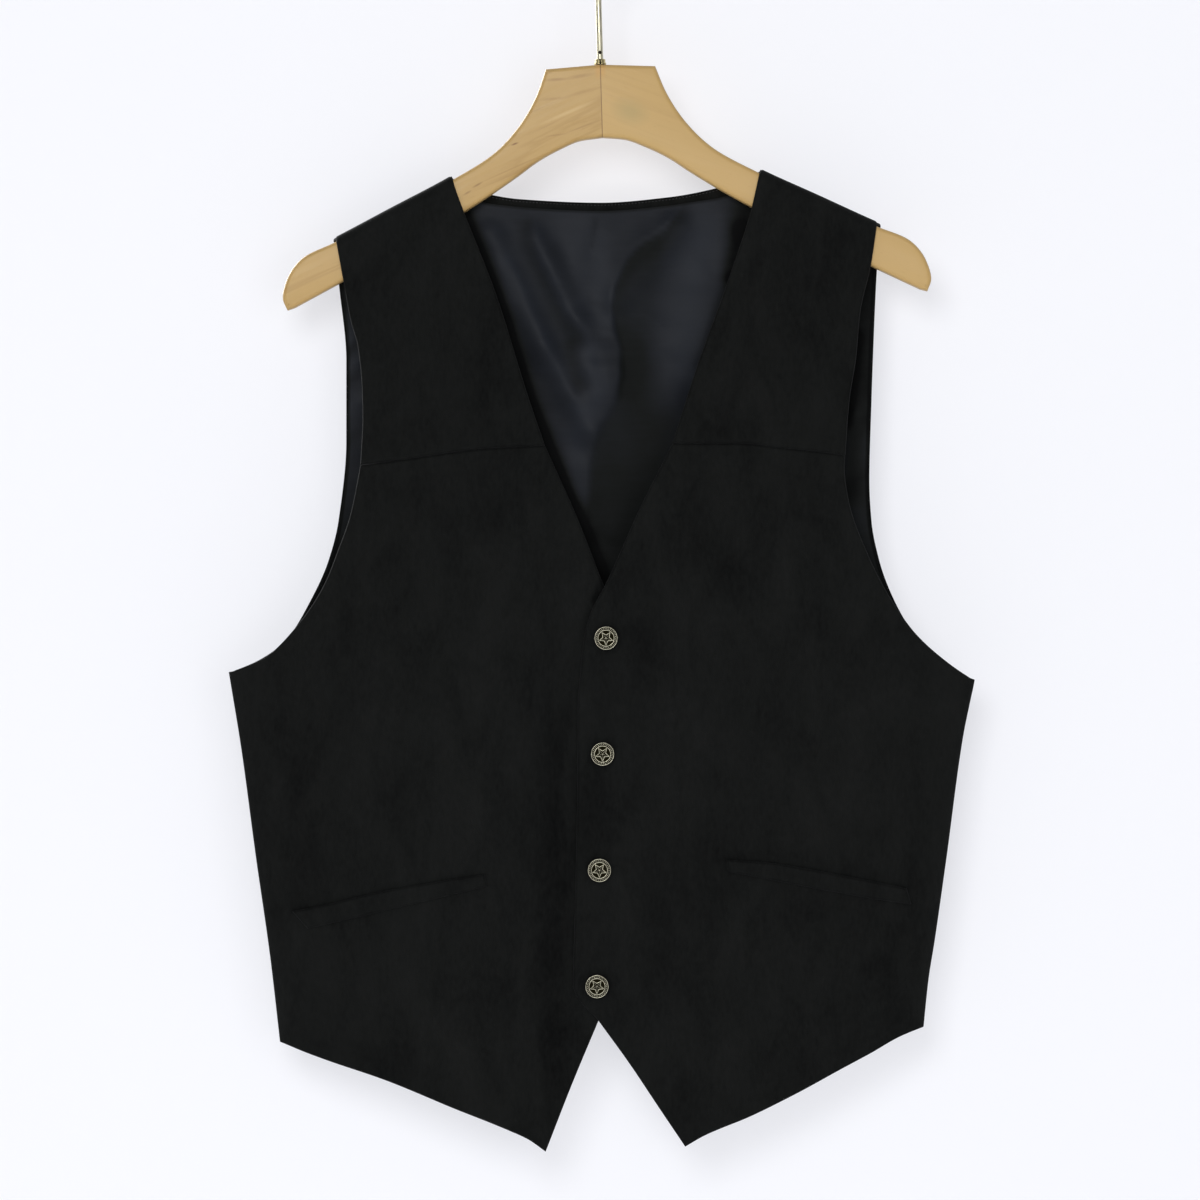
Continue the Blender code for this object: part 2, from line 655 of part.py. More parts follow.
def welt(name, table, panel, finish):
    """A pocket's welt, lying on the front's outer face."""
    depth = seat_on(panel)
    upper, lower = table
    upper_run = [(i / (len(upper) - 1), *point) for i, point in enumerate(upper)]
    lower_run = [(i / (len(lower) - 1), *point) for i, point in enumerate(lower)]
    near = []
    far = []
    for row in range(WELT_ROWS):
        share = row / (WELT_ROWS - 1)
        near_line = []
        far_line = []
        for column in range(WELT_COLUMNS):
            at = column / (WELT_COLUMNS - 1)
            top_x, top_z = run_point(upper_run, at)
            low_x, low_z = run_point(lower_run, at)
            x = top_x + (low_x - top_x) * share
            z = top_z + (low_z - top_z) * share
            y = depth(x, z) - WELT_GAP
            near_line.append(Vector((x, y, z)))
            far_line.append(Vector((x, y - WELT_THICK, z)))
        near.append(near_line)
        far.append(far_line)
    return add_object(name, wall_mesh(name, near, far), finish, CENTRE_FRONT_X)


# A cap's rings from the back outwards: (radius, height). The star's two rings follow.
CAP_RINGS = (
    (6.6, 0.0), (7.8, 0.35), (8.2, 1.0), (8.0, 1.7), (7.3, 2.1), (6.5, 2.0), (6.0, 1.7),
)
CAP_SIDES = 20
STAR_POINTS = 5
STAR_OUTER = 5.2
STAR_INNER = 2.3
STAR_BASE = 1.75
STAR_TOP = 2.3
STAR_TOP_SHARE = 0.72


def star_radius(angle):
    """Radius of a star's outline, one of whose points hangs straight down."""
    half = math.pi / STAR_POINTS
    turn = (angle + math.pi / 2) % (2 * half)
    share = min(turn, 2 * half - turn) / half
    tip = Vector((STAR_OUTER, 0.0))
    notch = Vector((STAR_INNER * math.cos(half), STAR_INNER * math.sin(half)))
    edge = notch - tip
    bearing = share * half
    ray = Vector((math.cos(bearing), math.sin(bearing)))
    return tip.cross(edge) / ray.cross(edge)


def cap_mesh():
    """A snap cap with a raised star, its back at y = 0 and its face towards -Y."""
    angles = [math.tau * i / CAP_SIDES - math.pi / 2 for i in range(CAP_SIDES)]
    rings = [[(radius, height)] * CAP_SIDES for radius, height in CAP_RINGS]
    rings.append([(star_radius(angle), STAR_BASE) for angle in angles])
    rings.append([(star_radius(angle) * STAR_TOP_SHARE, STAR_TOP) for angle in angles])
    bm = bmesh.new()
    loops = []
    for ring in rings:
        loop = []
        for angle, (radius, height) in zip(angles, ring):
            place = Vector((radius * math.cos(angle), -height, radius * math.sin(angle)))
            loop.append(bm.verts.new(place * MM))
        loops.append(loop)
    for low, high in zip(loops, loops[1:]):
        for i in range(CAP_SIDES):
            j = (i + 1) % CAP_SIDES
            bm.faces.new((low[i], low[j], high[j], high[i]))
    bm.faces.new(loops[0])
    middle = bm.verts.new(Vector((0.0, -STAR_TOP, 0.0)) * MM)
    for i in range(CAP_SIDES):
        bm.faces.new((loops[-1][i], loops[-1][(i + 1) % CAP_SIDES], middle))
    return mesh_from(bm, "snap_cap")


def buttons(panel, finish):
    """Four snap caps down the lap, each 0.3 mm clear of the cloth."""
    depth = seat_on(panel)
    cap = cap_mesh()
    cap.materials.append(finish)
    reach = BUTTON_RADIUS * SEAT_REACH
    for number, (x, z) in enumerate(zip(BUTTON_X, BUTTON_Z), start=1):
        slope = (depth(x, z + reach) - depth(x, z - reach)) / (2 * reach)
        nearest = depth(x, z)
        for share in SEAT_SHARES:
            for i in range(SEAT_SIDES):
                turn = math.tau * i / SEAT_SIDES
                across = BUTTON_RADIUS * share * math.cos(turn)
                up = BUTTON_RADIUS * share * math.sin(turn)
                nearest = min(nearest, depth(x + across, z + up) - slope * up)
        button = add_object(f"button_{number}", cap)
        button.location = ((x + CENTRE_FRONT_X) * MM, (nearest - SEAM_GAP) * MM, z * MM)
        button.rotation_euler = (-math.atan(slope), 0.0, 0.0)


# ---------------------------------------------------------------- the hanger
def evenly_spaced(points):
    """Points at even steps along a smooth curve through a table."""
    lengths = [0.0]
    for a, b in zip(points, points[1:]):
        lengths.append(lengths[-1] + math.dist(a, b))
    count = round(lengths[-1] / HANGER_STEP)
    run = [(length, *point) for length, point in zip(lengths, points)]
    return [run_point(run, lengths[-1] * i / count) for i in range(count + 1)]


def hanger_half(name, side, finish, parent):
    """One half of the hanger, from the centre joint to its tip."""
    outline = [(SEAM_GAP / 2, HANGER_TOP)]
    outline += evenly_spaced(HANGER_ARM_TOP)
    outline += evenly_spaced(HANGER_ARM_UNDER)[:-1]
    outline.append((SEAM_GAP / 2, HANGER_ARM_UNDER[-1][1]))
    bm = bmesh.new()
    half = HANGER_THICK / 2
    loops = []
    for y in (-half, half):
        loops.append([bm.verts.new(Vector((side * x, y, z)) * MM) for x, z in outline])
    front_loop, back_loop = loops
    bm.faces.new(front_loop)
    bm.faces.new(back_loop)
    for i in range(len(outline)):
        j = (i + 1) % len(outline)
        bm.faces.new((front_loop[i], front_loop[j], back_loop[j], back_loop[i]))
    bmesh.ops.recalc_face_normals(bm, faces=bm.faces)
    joint = (front_loop[0], front_loop[-1], back_loop[0], back_loop[-1])
    long_edges = [
        edge for edge in bm.edges
        if abs(edge.verts[0].co.y - edge.verts[1].co.y) < HANGER_THICK * MM / 2
        and not (edge.verts[0] in joint and edge.verts[1] in joint)
    ]
    bmesh.ops.bevel(bm, geom=long_edges, offset=HANGER_EDGE_ROUND * MM,
                    segments=HANGER_EDGE_SEGMENTS, profile=0.5, affect="EDGES")
    made = add_object(name, mesh_from(bm, name), finish)
    made.parent = parent
    return made


def ring_mesh(name, profile, sides):
    """A turned ring about the Z axis from a closed profile of (radius, z)."""
    bm = bmesh.new()
    loops = []
    for i in range(sides):
        angle = math.tau * i / sides
        loops.append([
            bm.verts.new(Vector((r * math.cos(angle), r * math.sin(angle), z)) * MM)
            for r, z in profile
        ])
    for i in range(sides):
        here = loops[i]
        there = loops[(i + 1) % sides]
        for k in range(len(profile)):
            m = (k + 1) % len(profile)
            bm.faces.new((here[k], here[m], there[m], there[k]))
    return mesh_from(bm, name)


def tube_mesh(name, path, radius, sides):
    """A round wire in the plane y = 0 along a path of (x, z), with domed ends."""
    bm = bmesh.new()
    points = [Vector((x, 0.0, z)) for x, z in path]
    start = (points[1] - points[0]).normalized()
    end = (points[-1] - points[-2]).normalized()
    stations = [(points[0] - start * radius * WIRE_DOME_REACH, start, radius * WIRE_DOME_SIZE)]
    for i, point in enumerate(points):
        along = (points[min(i + 1, len(points) - 1)] - points[max(i - 1, 0)]).normalized()
        stations.append((point, along, radius))
    stations.append((points[-1] + end * radius * WIRE_DOME_REACH, end, radius * WIRE_DOME_SIZE))

    out = Vector((0.0, 1.0, 0.0))
    loops = []
    for centre, along, size in stations:
        other = along.cross(out)
        loop = []
        for i in range(sides):
            angle = math.tau * i / sides
            spoke = other * math.cos(angle) + out * math.sin(angle)
            loop.append(bm.verts.new((centre + spoke * size) * MM))
        loops.append(loop)
    for low, high in zip(loops, loops[1:]):
        for i in range(sides):
            j = (i + 1) % sides
            bm.faces.new((low[i], low[j], high[j], high[i]))
    bm.faces.new(loops[0])
    bm.faces.new(loops[-1])
    return mesh_from(bm, name)


def hook_path():
    """The hook: a loop, a bend back under it, and a straight stem into the wood."""
    radius = HOOK_INNER + HOOK_WIRE / 2
    centre_z = -HOOK_INNER
    path = []
    for i in range(HOOK_TIP_STEPS + 1):
        share = i / HOOK_TIP_STEPS
        angle = math.radians(HOOK_TIP_ANGLE + (HOOK_BEND_ANGLE - HOOK_TIP_ANGLE) * share)
        path.append((radius * math.cos(angle), centre_z + radius * math.sin(angle)))
    leave = math.radians(-HOOK_BEND_ANGLE)
    bend = radius * math.cos(leave) / (1 - math.cos(leave))
    low_z = centre_z - radius * math.sin(leave) - bend * math.sin(leave)
    for i in range(1, HOOK_BEND_STEPS + 1):
        turn = leave * (1 - i / HOOK_BEND_STEPS)
        path.append((bend * (1 - math.cos(turn)), low_z + bend * math.sin(turn)))
    end_z = HANGER_TOP - HOOK_SOCKET
    path.append((0.0, (low_z + end_z) / 2))
    path.append((0.0, end_z))
    return path


def hook_and_collar(brass, parent):
    """The wire hook and the collar it passes through."""
    wire = tube_mesh("hanger_hook", hook_path(), HOOK_WIRE / 2, WIRE_SIDES)
    hook = add_object("hanger_hook", wire, brass)
    hook.parent = parent
    hole = HOOK_WIRE / 2 + SEAM_GAP
    foot = HANGER_TOP + SEAM_GAP
    profile = [(radius, foot + height) for radius, height in COLLAR_PROFILE]
    profile = [(hole, profile[0][1])] + profile + [(hole, profile[-1][1])]
    collar = add_object("hook_collar", ring_mesh("hook_collar", profile, COLLAR_SIDES), brass)
    collar.parent = parent


def drill(halves, parent):
    """The hole at the centre joint that holds the hook's wire."""
    radius = HOOK_WIRE / 2 + SEAM_GAP
    top = HANGER_TOP + DRILL_OVERRUN
    bottom = HANGER_TOP - HOOK_SOCKET - HOOK_WIRE / 2 - SEAM_GAP
    bm = bmesh.new()
    bmesh.ops.create_cone(bm, cap_ends=True, segments=DRILL_SIDES, radius1=radius * MM,
                          radius2=radius * MM, depth=(top - bottom) * MM,
                          matrix=Matrix.Translation((0.0, 0.0, (top + bottom) / 2 * MM)))
    cutter = bpy.data.objects.new("drill", mesh_from(bm, "drill"))
    bpy.context.scene.collection.objects.link(cutter)
    cutter.hide_render = True
    cutter.display_type = "WIRE"
    cutter.parent = parent
    for half in halves:
        cut = half.modifiers.new("hook_hole", "BOOLEAN")
        cut.operation = "DIFFERENCE"
        cut.object = cutter


# ---------------------------------------------------------------- the whole object
def build():
    """Make every piece."""
    for old in list(bpy.data.objects):
        bpy.data.objects.remove(old, do_unlink=True)

    suede = material("suede", (0.012, 0.012, 0.013), 0.92)
    satin = material("satin_lining", (0.022, 0.026, 0.032), 0.45)
    antique = material("antique_brass", (0.30, 0.26, 0.17), 0.42, 1.0)
    wood = material("wood", (0.52, 0.36, 0.17), 0.5)
    brass = material("hook_brass", (0.62, 0.56, 0.34), 0.22, 1.0)

    yoke("yoke_right", RIGHT_YOKE_ARMHOLE, RIGHT_YOKE_NECK, RIGHT_YOKE_SEAM,
         FRONT_RIGHT_FOLDS, suede)
    yoke("yoke_left", LEFT_YOKE_ARMHOLE, LEFT_YOKE_NECK, LEFT_YOKE_SEAM,
         FRONT_LEFT_FOLDS, suede)
    under = front("front_right", RIGHT_FRONT_OUTER, RIGHT_FRONT_INNER, RIGHT_YOKE_SEAM,
                  RIGHT_HEM, FRONT_RIGHT_FOLDS, True, suede)
    over = front("front_left", LEFT_FRONT_OUTER, LEFT_FRONT_INNER, LEFT_YOKE_SEAM,
                 LEFT_HEM, FRONT_LEFT_FOLDS, False, suede)
    cloth("back_panel", back_points(BACK_ROWS, BACK_COLUMNS), SUEDE, BACKWARD, suede)
    back_lining(satin)
    welt("welt_right", RIGHT_WELT, under, suede)
    welt("welt_left", LEFT_WELT, over, suede)
    buttons(over, antique)

    hanger = bpy.data.objects.new("hanger", None)
    bpy.context.scene.collection.objects.link(hanger)
    hanger.rotation_euler = (0.0, -math.radians(HANGER_TILT), 0.0)
    halves = (
        hanger_half("hanger_right", -1.0, wood, hanger),
        hanger_half("hanger_left", 1.0, wood, hanger),
    )
    hook_and_collar(brass, hanger)
    drill(halves, hanger)


build()
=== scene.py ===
"""The looks of a black suede vest on a wooden hanger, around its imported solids.

Frame: the origin is where the hook rests on its rail, +Z is up, -Y is the vest's front and
+X the wearer's left. Tables hold millimetres, as the solids were drawn; meshes are in
metres. Widths of cloth are measured from the vest's centre front line.
"""
import json
import math

import bmesh
import bpy
import numpy as np
from mathutils import Matrix, Vector
from mathutils.bvhtree import BVHTree

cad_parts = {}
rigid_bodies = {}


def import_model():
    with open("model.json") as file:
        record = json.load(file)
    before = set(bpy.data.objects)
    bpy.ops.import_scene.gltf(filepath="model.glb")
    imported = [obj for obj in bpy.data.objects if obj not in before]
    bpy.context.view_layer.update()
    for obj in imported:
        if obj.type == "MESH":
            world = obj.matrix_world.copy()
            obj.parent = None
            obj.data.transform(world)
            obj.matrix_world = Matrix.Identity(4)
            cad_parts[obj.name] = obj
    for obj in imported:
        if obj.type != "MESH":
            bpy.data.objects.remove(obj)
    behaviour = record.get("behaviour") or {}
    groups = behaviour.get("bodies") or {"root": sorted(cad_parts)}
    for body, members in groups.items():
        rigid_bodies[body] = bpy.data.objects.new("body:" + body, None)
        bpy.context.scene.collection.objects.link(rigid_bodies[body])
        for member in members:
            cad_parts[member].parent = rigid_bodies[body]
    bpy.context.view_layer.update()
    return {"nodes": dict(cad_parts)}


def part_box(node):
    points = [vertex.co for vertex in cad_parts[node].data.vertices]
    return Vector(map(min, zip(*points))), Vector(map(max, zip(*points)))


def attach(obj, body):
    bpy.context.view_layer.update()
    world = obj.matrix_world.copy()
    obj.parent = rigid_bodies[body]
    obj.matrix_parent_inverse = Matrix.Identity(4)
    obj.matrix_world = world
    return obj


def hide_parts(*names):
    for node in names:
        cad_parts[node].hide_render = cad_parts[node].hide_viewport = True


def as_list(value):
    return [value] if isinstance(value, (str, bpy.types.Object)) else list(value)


MM = 0.001
RANDOM_SEED = 7

# ---------------------------------------------------------------- the vest's sizes, in mm
SEAM_GAP = 0.3            # between hard pieces
CLOTH_GAP = 0.04          # between two layers of cloth at a seam
SUEDE = 1.8
SATIN = 1.0
LINING_GAP = 1.2
YOKE_PROUD = 0.7
CENTRE_FRONT_X = 2.8
SIDE_SEAM_ROLL = 1.2

HANGER_TILT = 1.72
HANGER_THICK = 14.0
HANGER_TOP = -100.0
RIDGE_CLEARANCE = 1.3
CLOTH_CLEARANCE = 1.0
CURL_HEIGHT = 7.0
CURL_POWER = 3
RIDGE_STEPS = 6

FRONT_INNER = HANGER_THICK / 2 + CLOTH_CLEARANCE
BACK_INNER = FRONT_INNER + SATIN + LINING_GAP

# ---------------------------------------------------------------- the hanger's outline
# Half of the hanger in its own frame: (x, z). The arm's top runs outwards from the end of
# the plate that carries the hook, and its last two rows turn under at the tip.
HANGER_ARM_TOP = (
    (38.4, -102.2),
    (45.5, -120.5),
    (57.8, -140.8),
    (77, -160.5),
    (106, -177.6),
    (150, -199.3),
    (190, -219),
    (213, -229.5),
    (224, -243.5),
    (227.5, -257),
    (224.5, -265.5),
)
TIP_ROWS = 2
# The arm's underside, from the tip inwards to the centre joint.
HANGER_ARM_UNDER = (
    (219.5, -264),
    (185, -246.5),
    (142, -223.8),
    (99.5, -201),
    (80, -189.3),
    (61, -177),
    (45, -166),
    (30, -158.3),
    (15, -152.6),
    (0, -151),
)

# ---------------------------------------------------------------- outlines of the cloth
# An edge is a list of runs that meet at corners. A run's rows are (station, x, z), with
# the station going from 0 at the edge's start to 1 at its end. Two edges that face each
# other across a panel are joined by rows at equal stations.
RIGHT_YOKE_ARMHOLE = (
    ((0, -185, -224), (0.19, -179.5, -253), (0.36, -174.5, -280),
     (0.48, -169.5, -298), (0.66, -166.5, -327), (0.78, -166, -346),
     (1, -167.5, -381)),
)
RIGHT_YOKE_NECK = (
    ((0, -103.5, -180), (0.035, -101.5, -186.5), (0.13, -95.2, -203.7),
     (0.435, -72.8, -261.1), (0.815, -50.4, -332.5), (1, -38.5, -367.5)),
)
RIGHT_YOKE_SEAM = (
    ((0, -167.5, -381), (0.25, -135, -377), (0.485, -105, -372.5),
     (0.69, -78.5, -369.5), (1, -38.5, -367.5)),
)
RIGHT_FRONT_OUTER = (
    ((0, -167.5, -381), (0.07, -174.5, -416), (0.12, -182.5, -439),
     (0.175, -193, -465), (0.235, -210, -491), (0.30, -236, -516.5),
     (0.36, -260.5, -526)),
    ((0.36, -260.5, -526), (0.50, -251.5, -581), (0.68, -241.5, -655),
     (0.85, -231.5, -725), (1, -224.5, -785.5)),
)
RIGHT_FRONT_INNER = (
    ((0, -38.5, -367.5), (0.11, -14.7, -420.7), (0.20, 2, -463.5),
     (0.245, 11, -484), (0.29, 16.5, -506), (0.36, 19, -545)),
    ((0.36, 19, -545), (0.747, 19, -745)),
    ((0.747, 19, -745), (0.762, 16, -752.5), (0.81, -1, -769)),
    ((0.81, -1, -769), (0.90, -18.5, -811), (1, -38, -860.5)),
)
RIGHT_HEM = (
    ((0, -224.5, -785.5), (0.19, -189, -798), (0.415, -147, -812),
     (0.64, -105, -829), (0.866, -63, -846), (0.936, -50, -852),
     (1, -38, -860.5)),
)
LEFT_YOKE_ARMHOLE = (
    ((0, 194, -213), (0.18, 189.5, -242), (0.37, 182.5, -272.5),
     (0.60, 179, -308), (0.78, 174.5, -336), (1, 171.5, -374.5)),
)
LEFT_YOKE_NECK = (
    ((0, 112, -176), (0.14, 105.5, -203), (0.41, 89, -253.5),
     (0.71, 68.5, -310), (1, 50.5, -366)),
)
LEFT_YOKE_SEAM = (
    ((0, 171.5, -374.5), (0.07, 163, -373), (0.37, 126.5, -369),
     (0.60, 98.5, -366), (1, 50.5, -366)),
)
LEFT_FRONT_OUTER = (
    ((0, 171.5, -374.5), (0.02, 171, -383), (0.07, 173.5, -404),
     (0.165, 189, -447.5), (0.26, 217.5, -495), (0.32, 244, -519.5),
     (0.36, 263, -531.5)),
    ((0.36, 263, -531.5), (0.46, 254.5, -573), (0.66, 243, -657),
     (0.80, 235, -713), (0.88, 230.5, -741.5), (1, 227, -775)),
)
LEFT_FRONT_INNER = (
    ((0, 50.5, -366), (0.13, 28, -411), (0.24, 3, -466),
     (0.285, -6.5, -484), (0.32, -11.5, -503.5), (0.39, -15.5, -545)),
    ((0.39, -15.5, -545), (0.53, -16, -615), (0.65, -17.5, -685),
     (0.747, -19, -745)),
    ((0.747, -19, -745), (0.762, -16, -752.5), (0.81, -1, -769)),
    ((0.81, -1, -769), (0.88, 21, -799.5), (0.94, 40, -828),
     (1, 59.5, -857)),
)
LEFT_HEM = (
    ((0, 227, -775), (0.10, 210, -781), (0.227, 189, -792.5),
     (0.352, 168, -803.5), (0.54, 136.5, -820.5), (0.728, 105, -836),
     (0.916, 73.5, -849), (1, 59.5, -857)),
)
BACK_RIGHT_EDGE = (
    ((0, -187, -223), (0.055, -183.5, -255), (0.145, -178.5, -307.5),
     (0.24, -178.5, -363.5), (0.33, -184, -419.5), (0.38, -191, -447.5),
     (0.43, -203.5, -475.5), (0.485, -221, -503.5), (0.525, -240.5, -518),
     (0.56, -260.5, -526)),
    ((0.56, -260.5, -526), (0.655, -251.5, -581), (0.78, -241.5, -655),
     (0.90, -231.5, -725), (1, -224.5, -785.5)),
)
BACK_LEFT_EDGE = (
    ((0, 197, -214), (0.055, 194.5, -249), (0.135, 192.5, -293.5),
     (0.21, 191, -335.5), (0.30, 189.5, -391.5), (0.345, 191, -419.5),
     (0.395, 196.5, -447.5), (0.445, 207, -475.5), (0.50, 224.5, -503.5),
     (0.53, 242, -518), (0.56, 263, -531.5)),
    ((0.56, 263, -531.5), (0.63, 254.5, -573), (0.775, 243, -657),
     (0.87, 235, -713), (0.925, 230.5, -741.5), (1, 227, -775)),
)
BACK_NECK = (
    (0.22, -103.5, -180), (0.285, -77.5, -190), (0.34, -56, -193.3),
    (0.485, 0, -195.8), (0.61, 47.5, -192), (0.695, 80, -186),
    (0.78, 112, -176),
)
BACK_HEM = (
    ((0, -224.5, -785.5), (0.25, -112, -771), (0.5, 2, -762),
     (0.75, 115, -766), (1, 227, -775)),
)
SHOULDER_SHARE = 0.22     # of the back's top edge, each side

# ---------------------------------------------------------------- how far the cloth stands out
# (height, distance of the wall's inner face from the seam plane at y = 0)
FRONT_SWELL = (
    (-150, FRONT_INNER), (-262, FRONT_INNER + 0.5), (-330, 13), (-380, 17),
    (-460, 21), (-545, 23), (-650, 24), (-750, 23), (-870, 20),
)
BACK_SWELL = (
    (-100, BACK_INNER), (-262, BACK_INNER + 0.4), (-330, 11.5), (-420, 13),
    (-526, 14.5), (-650, 15.5), (-790, 13.5),
)
ARMHOLE_TOP = -262.0      # above this the cloth lies flat against the wood's faces
LENS_TOP = -380.0         # below this the vest is a full lens
UNDERARM = -528.0         # at this height front and back meet
UNDERARM_X = (-260.5, 263.0)
SWELL_WIDTH = 200.0       # from a side seam to where the cloth stands fully out
LENS_POWER = 2.6          # how full the lens is towards its middle
LENS_ROOT = 0.62          # how steeply it opens at a side seam
FOLD_FADE = 40.0          # folds die out over this width at a side seam
ROLL_WIDTH = 20.0         # width and height over which the side seam's roll sets in
YOKE_LIFT_START = 0.8     # station from which the yoke lifts to its turned edge

# A fold is a soft ridge along a line: its (x, z) points, half width, height outwards.
FRONT_RIGHT_FOLDS = (
    (((-103, -505), (-72, -530)), 9, -0.9),
    (((-120, -640), (-100, -830)), 26, 1.6),
    (((-170, -600), (-160, -800)), 20, -1.4),
)
FRONT_LEFT_FOLDS = (
    (((171, -640), (158, -755)), 13, -1.3),
    (((54, -640), (56, -830)), 15, 1.4),
    (((110, -560), (104, -820)), 24, -1.2),
)
BACK_FOLDS = (
    (((-62, -330), (-84, -720)), 26, 2.6),
    (((6, -300), (2, -740)), 24, -1.8),
    (((84, -340), (104, -700)), 24, 2.8),
    (((-140, -470), (-150, -760)), 20, -1.6),
    (((152, -480), (160, -750)), 20, -1.6),
)
# The crests of two long folds of the lining, down from the neck.
LOWER_CREST = (
    (-66, -236), (-56, -258), (-49, -276), (-38.5, -297), (-31, -314),
    (-21, -332), (-14, -342),
)
UPPER_CREST = (
    (-47, -216), (-41.5, -236), (-31, -257), (-24, -273.5), (-12.5, -286),
    (-5.5, -297),
)
LINING_FOLDS = (
    (LOWER_CREST, 6, 0.32),
    (UPPER_CREST, 5.4, 0.28),
    (((-79, -218), (-40, -298)), 10, 3),
    (((-40, -298), (-8, -356)), 10, 2.2),
    (((-46, -222), (-17, -278)), 9, 2.4),
    (((-17, -278), (-3, -330)), 9, 1.6),
    (((56, -214), (16, -262)), 10, 2.4),
    (((86, -240), (44, -330)), 13, 1),
    (((44, -330), (8, -420)), 13, 1),
)
LAP_DIP = 3.6             # how far the under front dips behind the lap,
LAP_DIP_REACH = (-46.0, -20.0)   # and the widths between which it does

# Soft hills and dips of each kind of panel: height, and size across.
HILL_WAVES = 10
HILL_LENGTHS = (0.7, 2.0)   # the shortest and longest wave, as shares of the size
YOKE_HILLS = (0.12, 30.0)
FRONT_HILLS = (0.18, 34.0)
BACK_HILLS = (0.22, 40.0)
LINING_HILLS = (0.25, 22.0)
LINING_PROUD = 1.5        # the lining's hills stand this many heights above the back
# Widths from a side seam between which creases set in.
FRONT_SETTLE = (2.0, 14.0)
BACK_SETTLE = (2.0, 16.0)
LINING_SETTLE = (0.0, 14.0)

# Welt strips: upper edge and lower edge, each (x, z) from the side seam inwards.
RIGHT_WELT = (
    ((-215.5, -693), (-191, -688), (-153.5, -679), (-106.5, -670.5), (-80.5, -666.5)),
    ((-204.5, -705), (-187, -701), (-151, -692.5), (-106, -681.5), (-78.5, -675)),
)
LEFT_WELT = (
    ((214.5, -677), (188.5, -671.5), (145, -663), (117.5, -658.5), (88, -656.5)),
    ((218, -688.5), (190.5, -684), (146.5, -676), (117, -670), (90, -665)),
)
WELT_GAP = 0.6

# The snaps, from the top down, and how they pull the lap in and let it slacken between.
BUTTON_X = (4.2, 1.8, -0.4, -2.1)
BUTTON_Z = (-502.6, -583.1, -663.6, -744.4)
SNAP_DIMPLE = (0.8, 15.0)        # depth and radius
SNAP_DIMPLE_SQUEEZE = 0.8        # its width as a share of its length down
SLACK_HEIGHT = 0.25
SLACK_ASIDE = 22.0
SLACK_SIZE = (16.0, 22.0)        # across and down
SLACK_TURN = 0.35                # radians for each mm down
SNAP_SHADE = (1.6, 10.5, 6)      # painted shadow round each cap: strength, radius, how sharp it ends
UPPER_WELT_SHADE = (1.3, 1.8)    # painted shadow along a welt's edges, upper here and lower below: strength and half width
LOWER_WELT_SHADE = (0.9, 1.6)

# Fine creases: (x, z) at both ends, bow sideways, half width, height outwards. They fade
# out towards both ends.
CREASE_POWER = 1.5        # how steeply they fall off sideways
FRONT_RIGHT_CREASES = (
    ((-24, -470), (-30, -800), 3, 7, -0.9),
    ((-103, -506), (-70, -532), 2, 4.5, -0.7),
    ((-214, -520), (-140, -560), 5, 9, 0.7),
    ((-226, -545), (-168, -606), -5, 8, -0.6),
    ((-232, -590), (-190, -660), 4, 10, 0.5),
    ((-150, -400), (-132, -500), -4, 10, 0.5),
    ((-92, -392), (-110, -486), 6, 9, -0.4),
    ((-60, -570), (-66, -660), 4, 8, 0.5),
    ((-128, -560), (-118, -664), -6, 9, -0.5),
    ((-196, -712), (-186, -782), 3, 8, 0.6),
    ((-132, -700), (-138, -800), 4, 9, -0.6),
    ((-84, -690), (-70, -820), -5, 10, 0.6),
    ((-58, -760), (-52, -838), 2, 6, -0.5),
)
FRONT_LEFT_CREASES = (
    ((172, -642), (159, -735), 2, 4.5, -0.7),
    ((216, -524), (150, -566), -6, 9, 0.7),
    ((232, -548), (176, -612), 5, 8, -0.6),
    ((236, -600), (204, -654), -4, 9, 0.5),
    ((140, -396), (128, -500), 4, 10, 0.4),
    ((76, -398), (92, -496), -5, 9, -0.4),
    ((44, -560), (42, -690), 3, 6, 0.5),
    ((66, -700), (70, -838), -3, 6, -0.6),
    ((50, -704), (52, -826), 2, 6, 0.6),
    ((118, -700), (128, -806), 4, 9, 0.5),
    ((190, -706), (196, -780), -3, 8, -0.6),
    ((28, -590), (20, -640), 2, 5, -0.4),
)
YOKE_RIGHT_CREASES = (
    ((-160, -246), (-140, -350), 5, 9, 0.4),
    ((-118, -214), (-100, -330), -5, 9, -0.35),
    ((-84, -262), (-78, -352), 3, 7, 0.3),
)
YOKE_LEFT_CREASES = (
    ((166, -238), (150, -350), -5, 9, 0.4),
    ((128, -210), (116, -330), 4, 9, -0.35),
    ((96, -262), (90, -350), -3, 7, 0.3),
)
BACK_CREASES = (
    ((-150, -262), (-92, -380), 8, 12, 1),
    ((-110, -250), (-60, -340), -6, 10, -0.8),
    ((156, -258), (98, -372), -8, 12, 1),
    ((112, -244), (66, -336), 6, 10, -0.8),
    ((-30, -214), (-38, -420), 8, 14, -0.8),
    ((34, -212), (44, -400), -8, 14, -0.7),
    ((-236, -540), (-150, -590), -8, 11, 1),
    ((-222, -580), (-160, -660), 8, 10, -0.8),
    ((238, -544), (158, -598), 8, 11, 1),
    ((226, -590), (170, -668), -8, 10, -0.8),
    ((-112, -520), (-128, -742), 10, 13, 1.1),
    ((-46, -560), (-34, -750), -8, 12, -0.9),
    ((36, -540), (52, -736), 9, 13, 1),
    ((128, -570), (120, -744), -7, 12, -0.9),
    ((-8, -440), (4, -560), 5, 9, 0.6),
    ((-190, -690), (-184, -772), 3, 9, 0.7),
    ((196, -694), (188, -768), -3, 9, 0.7),
)
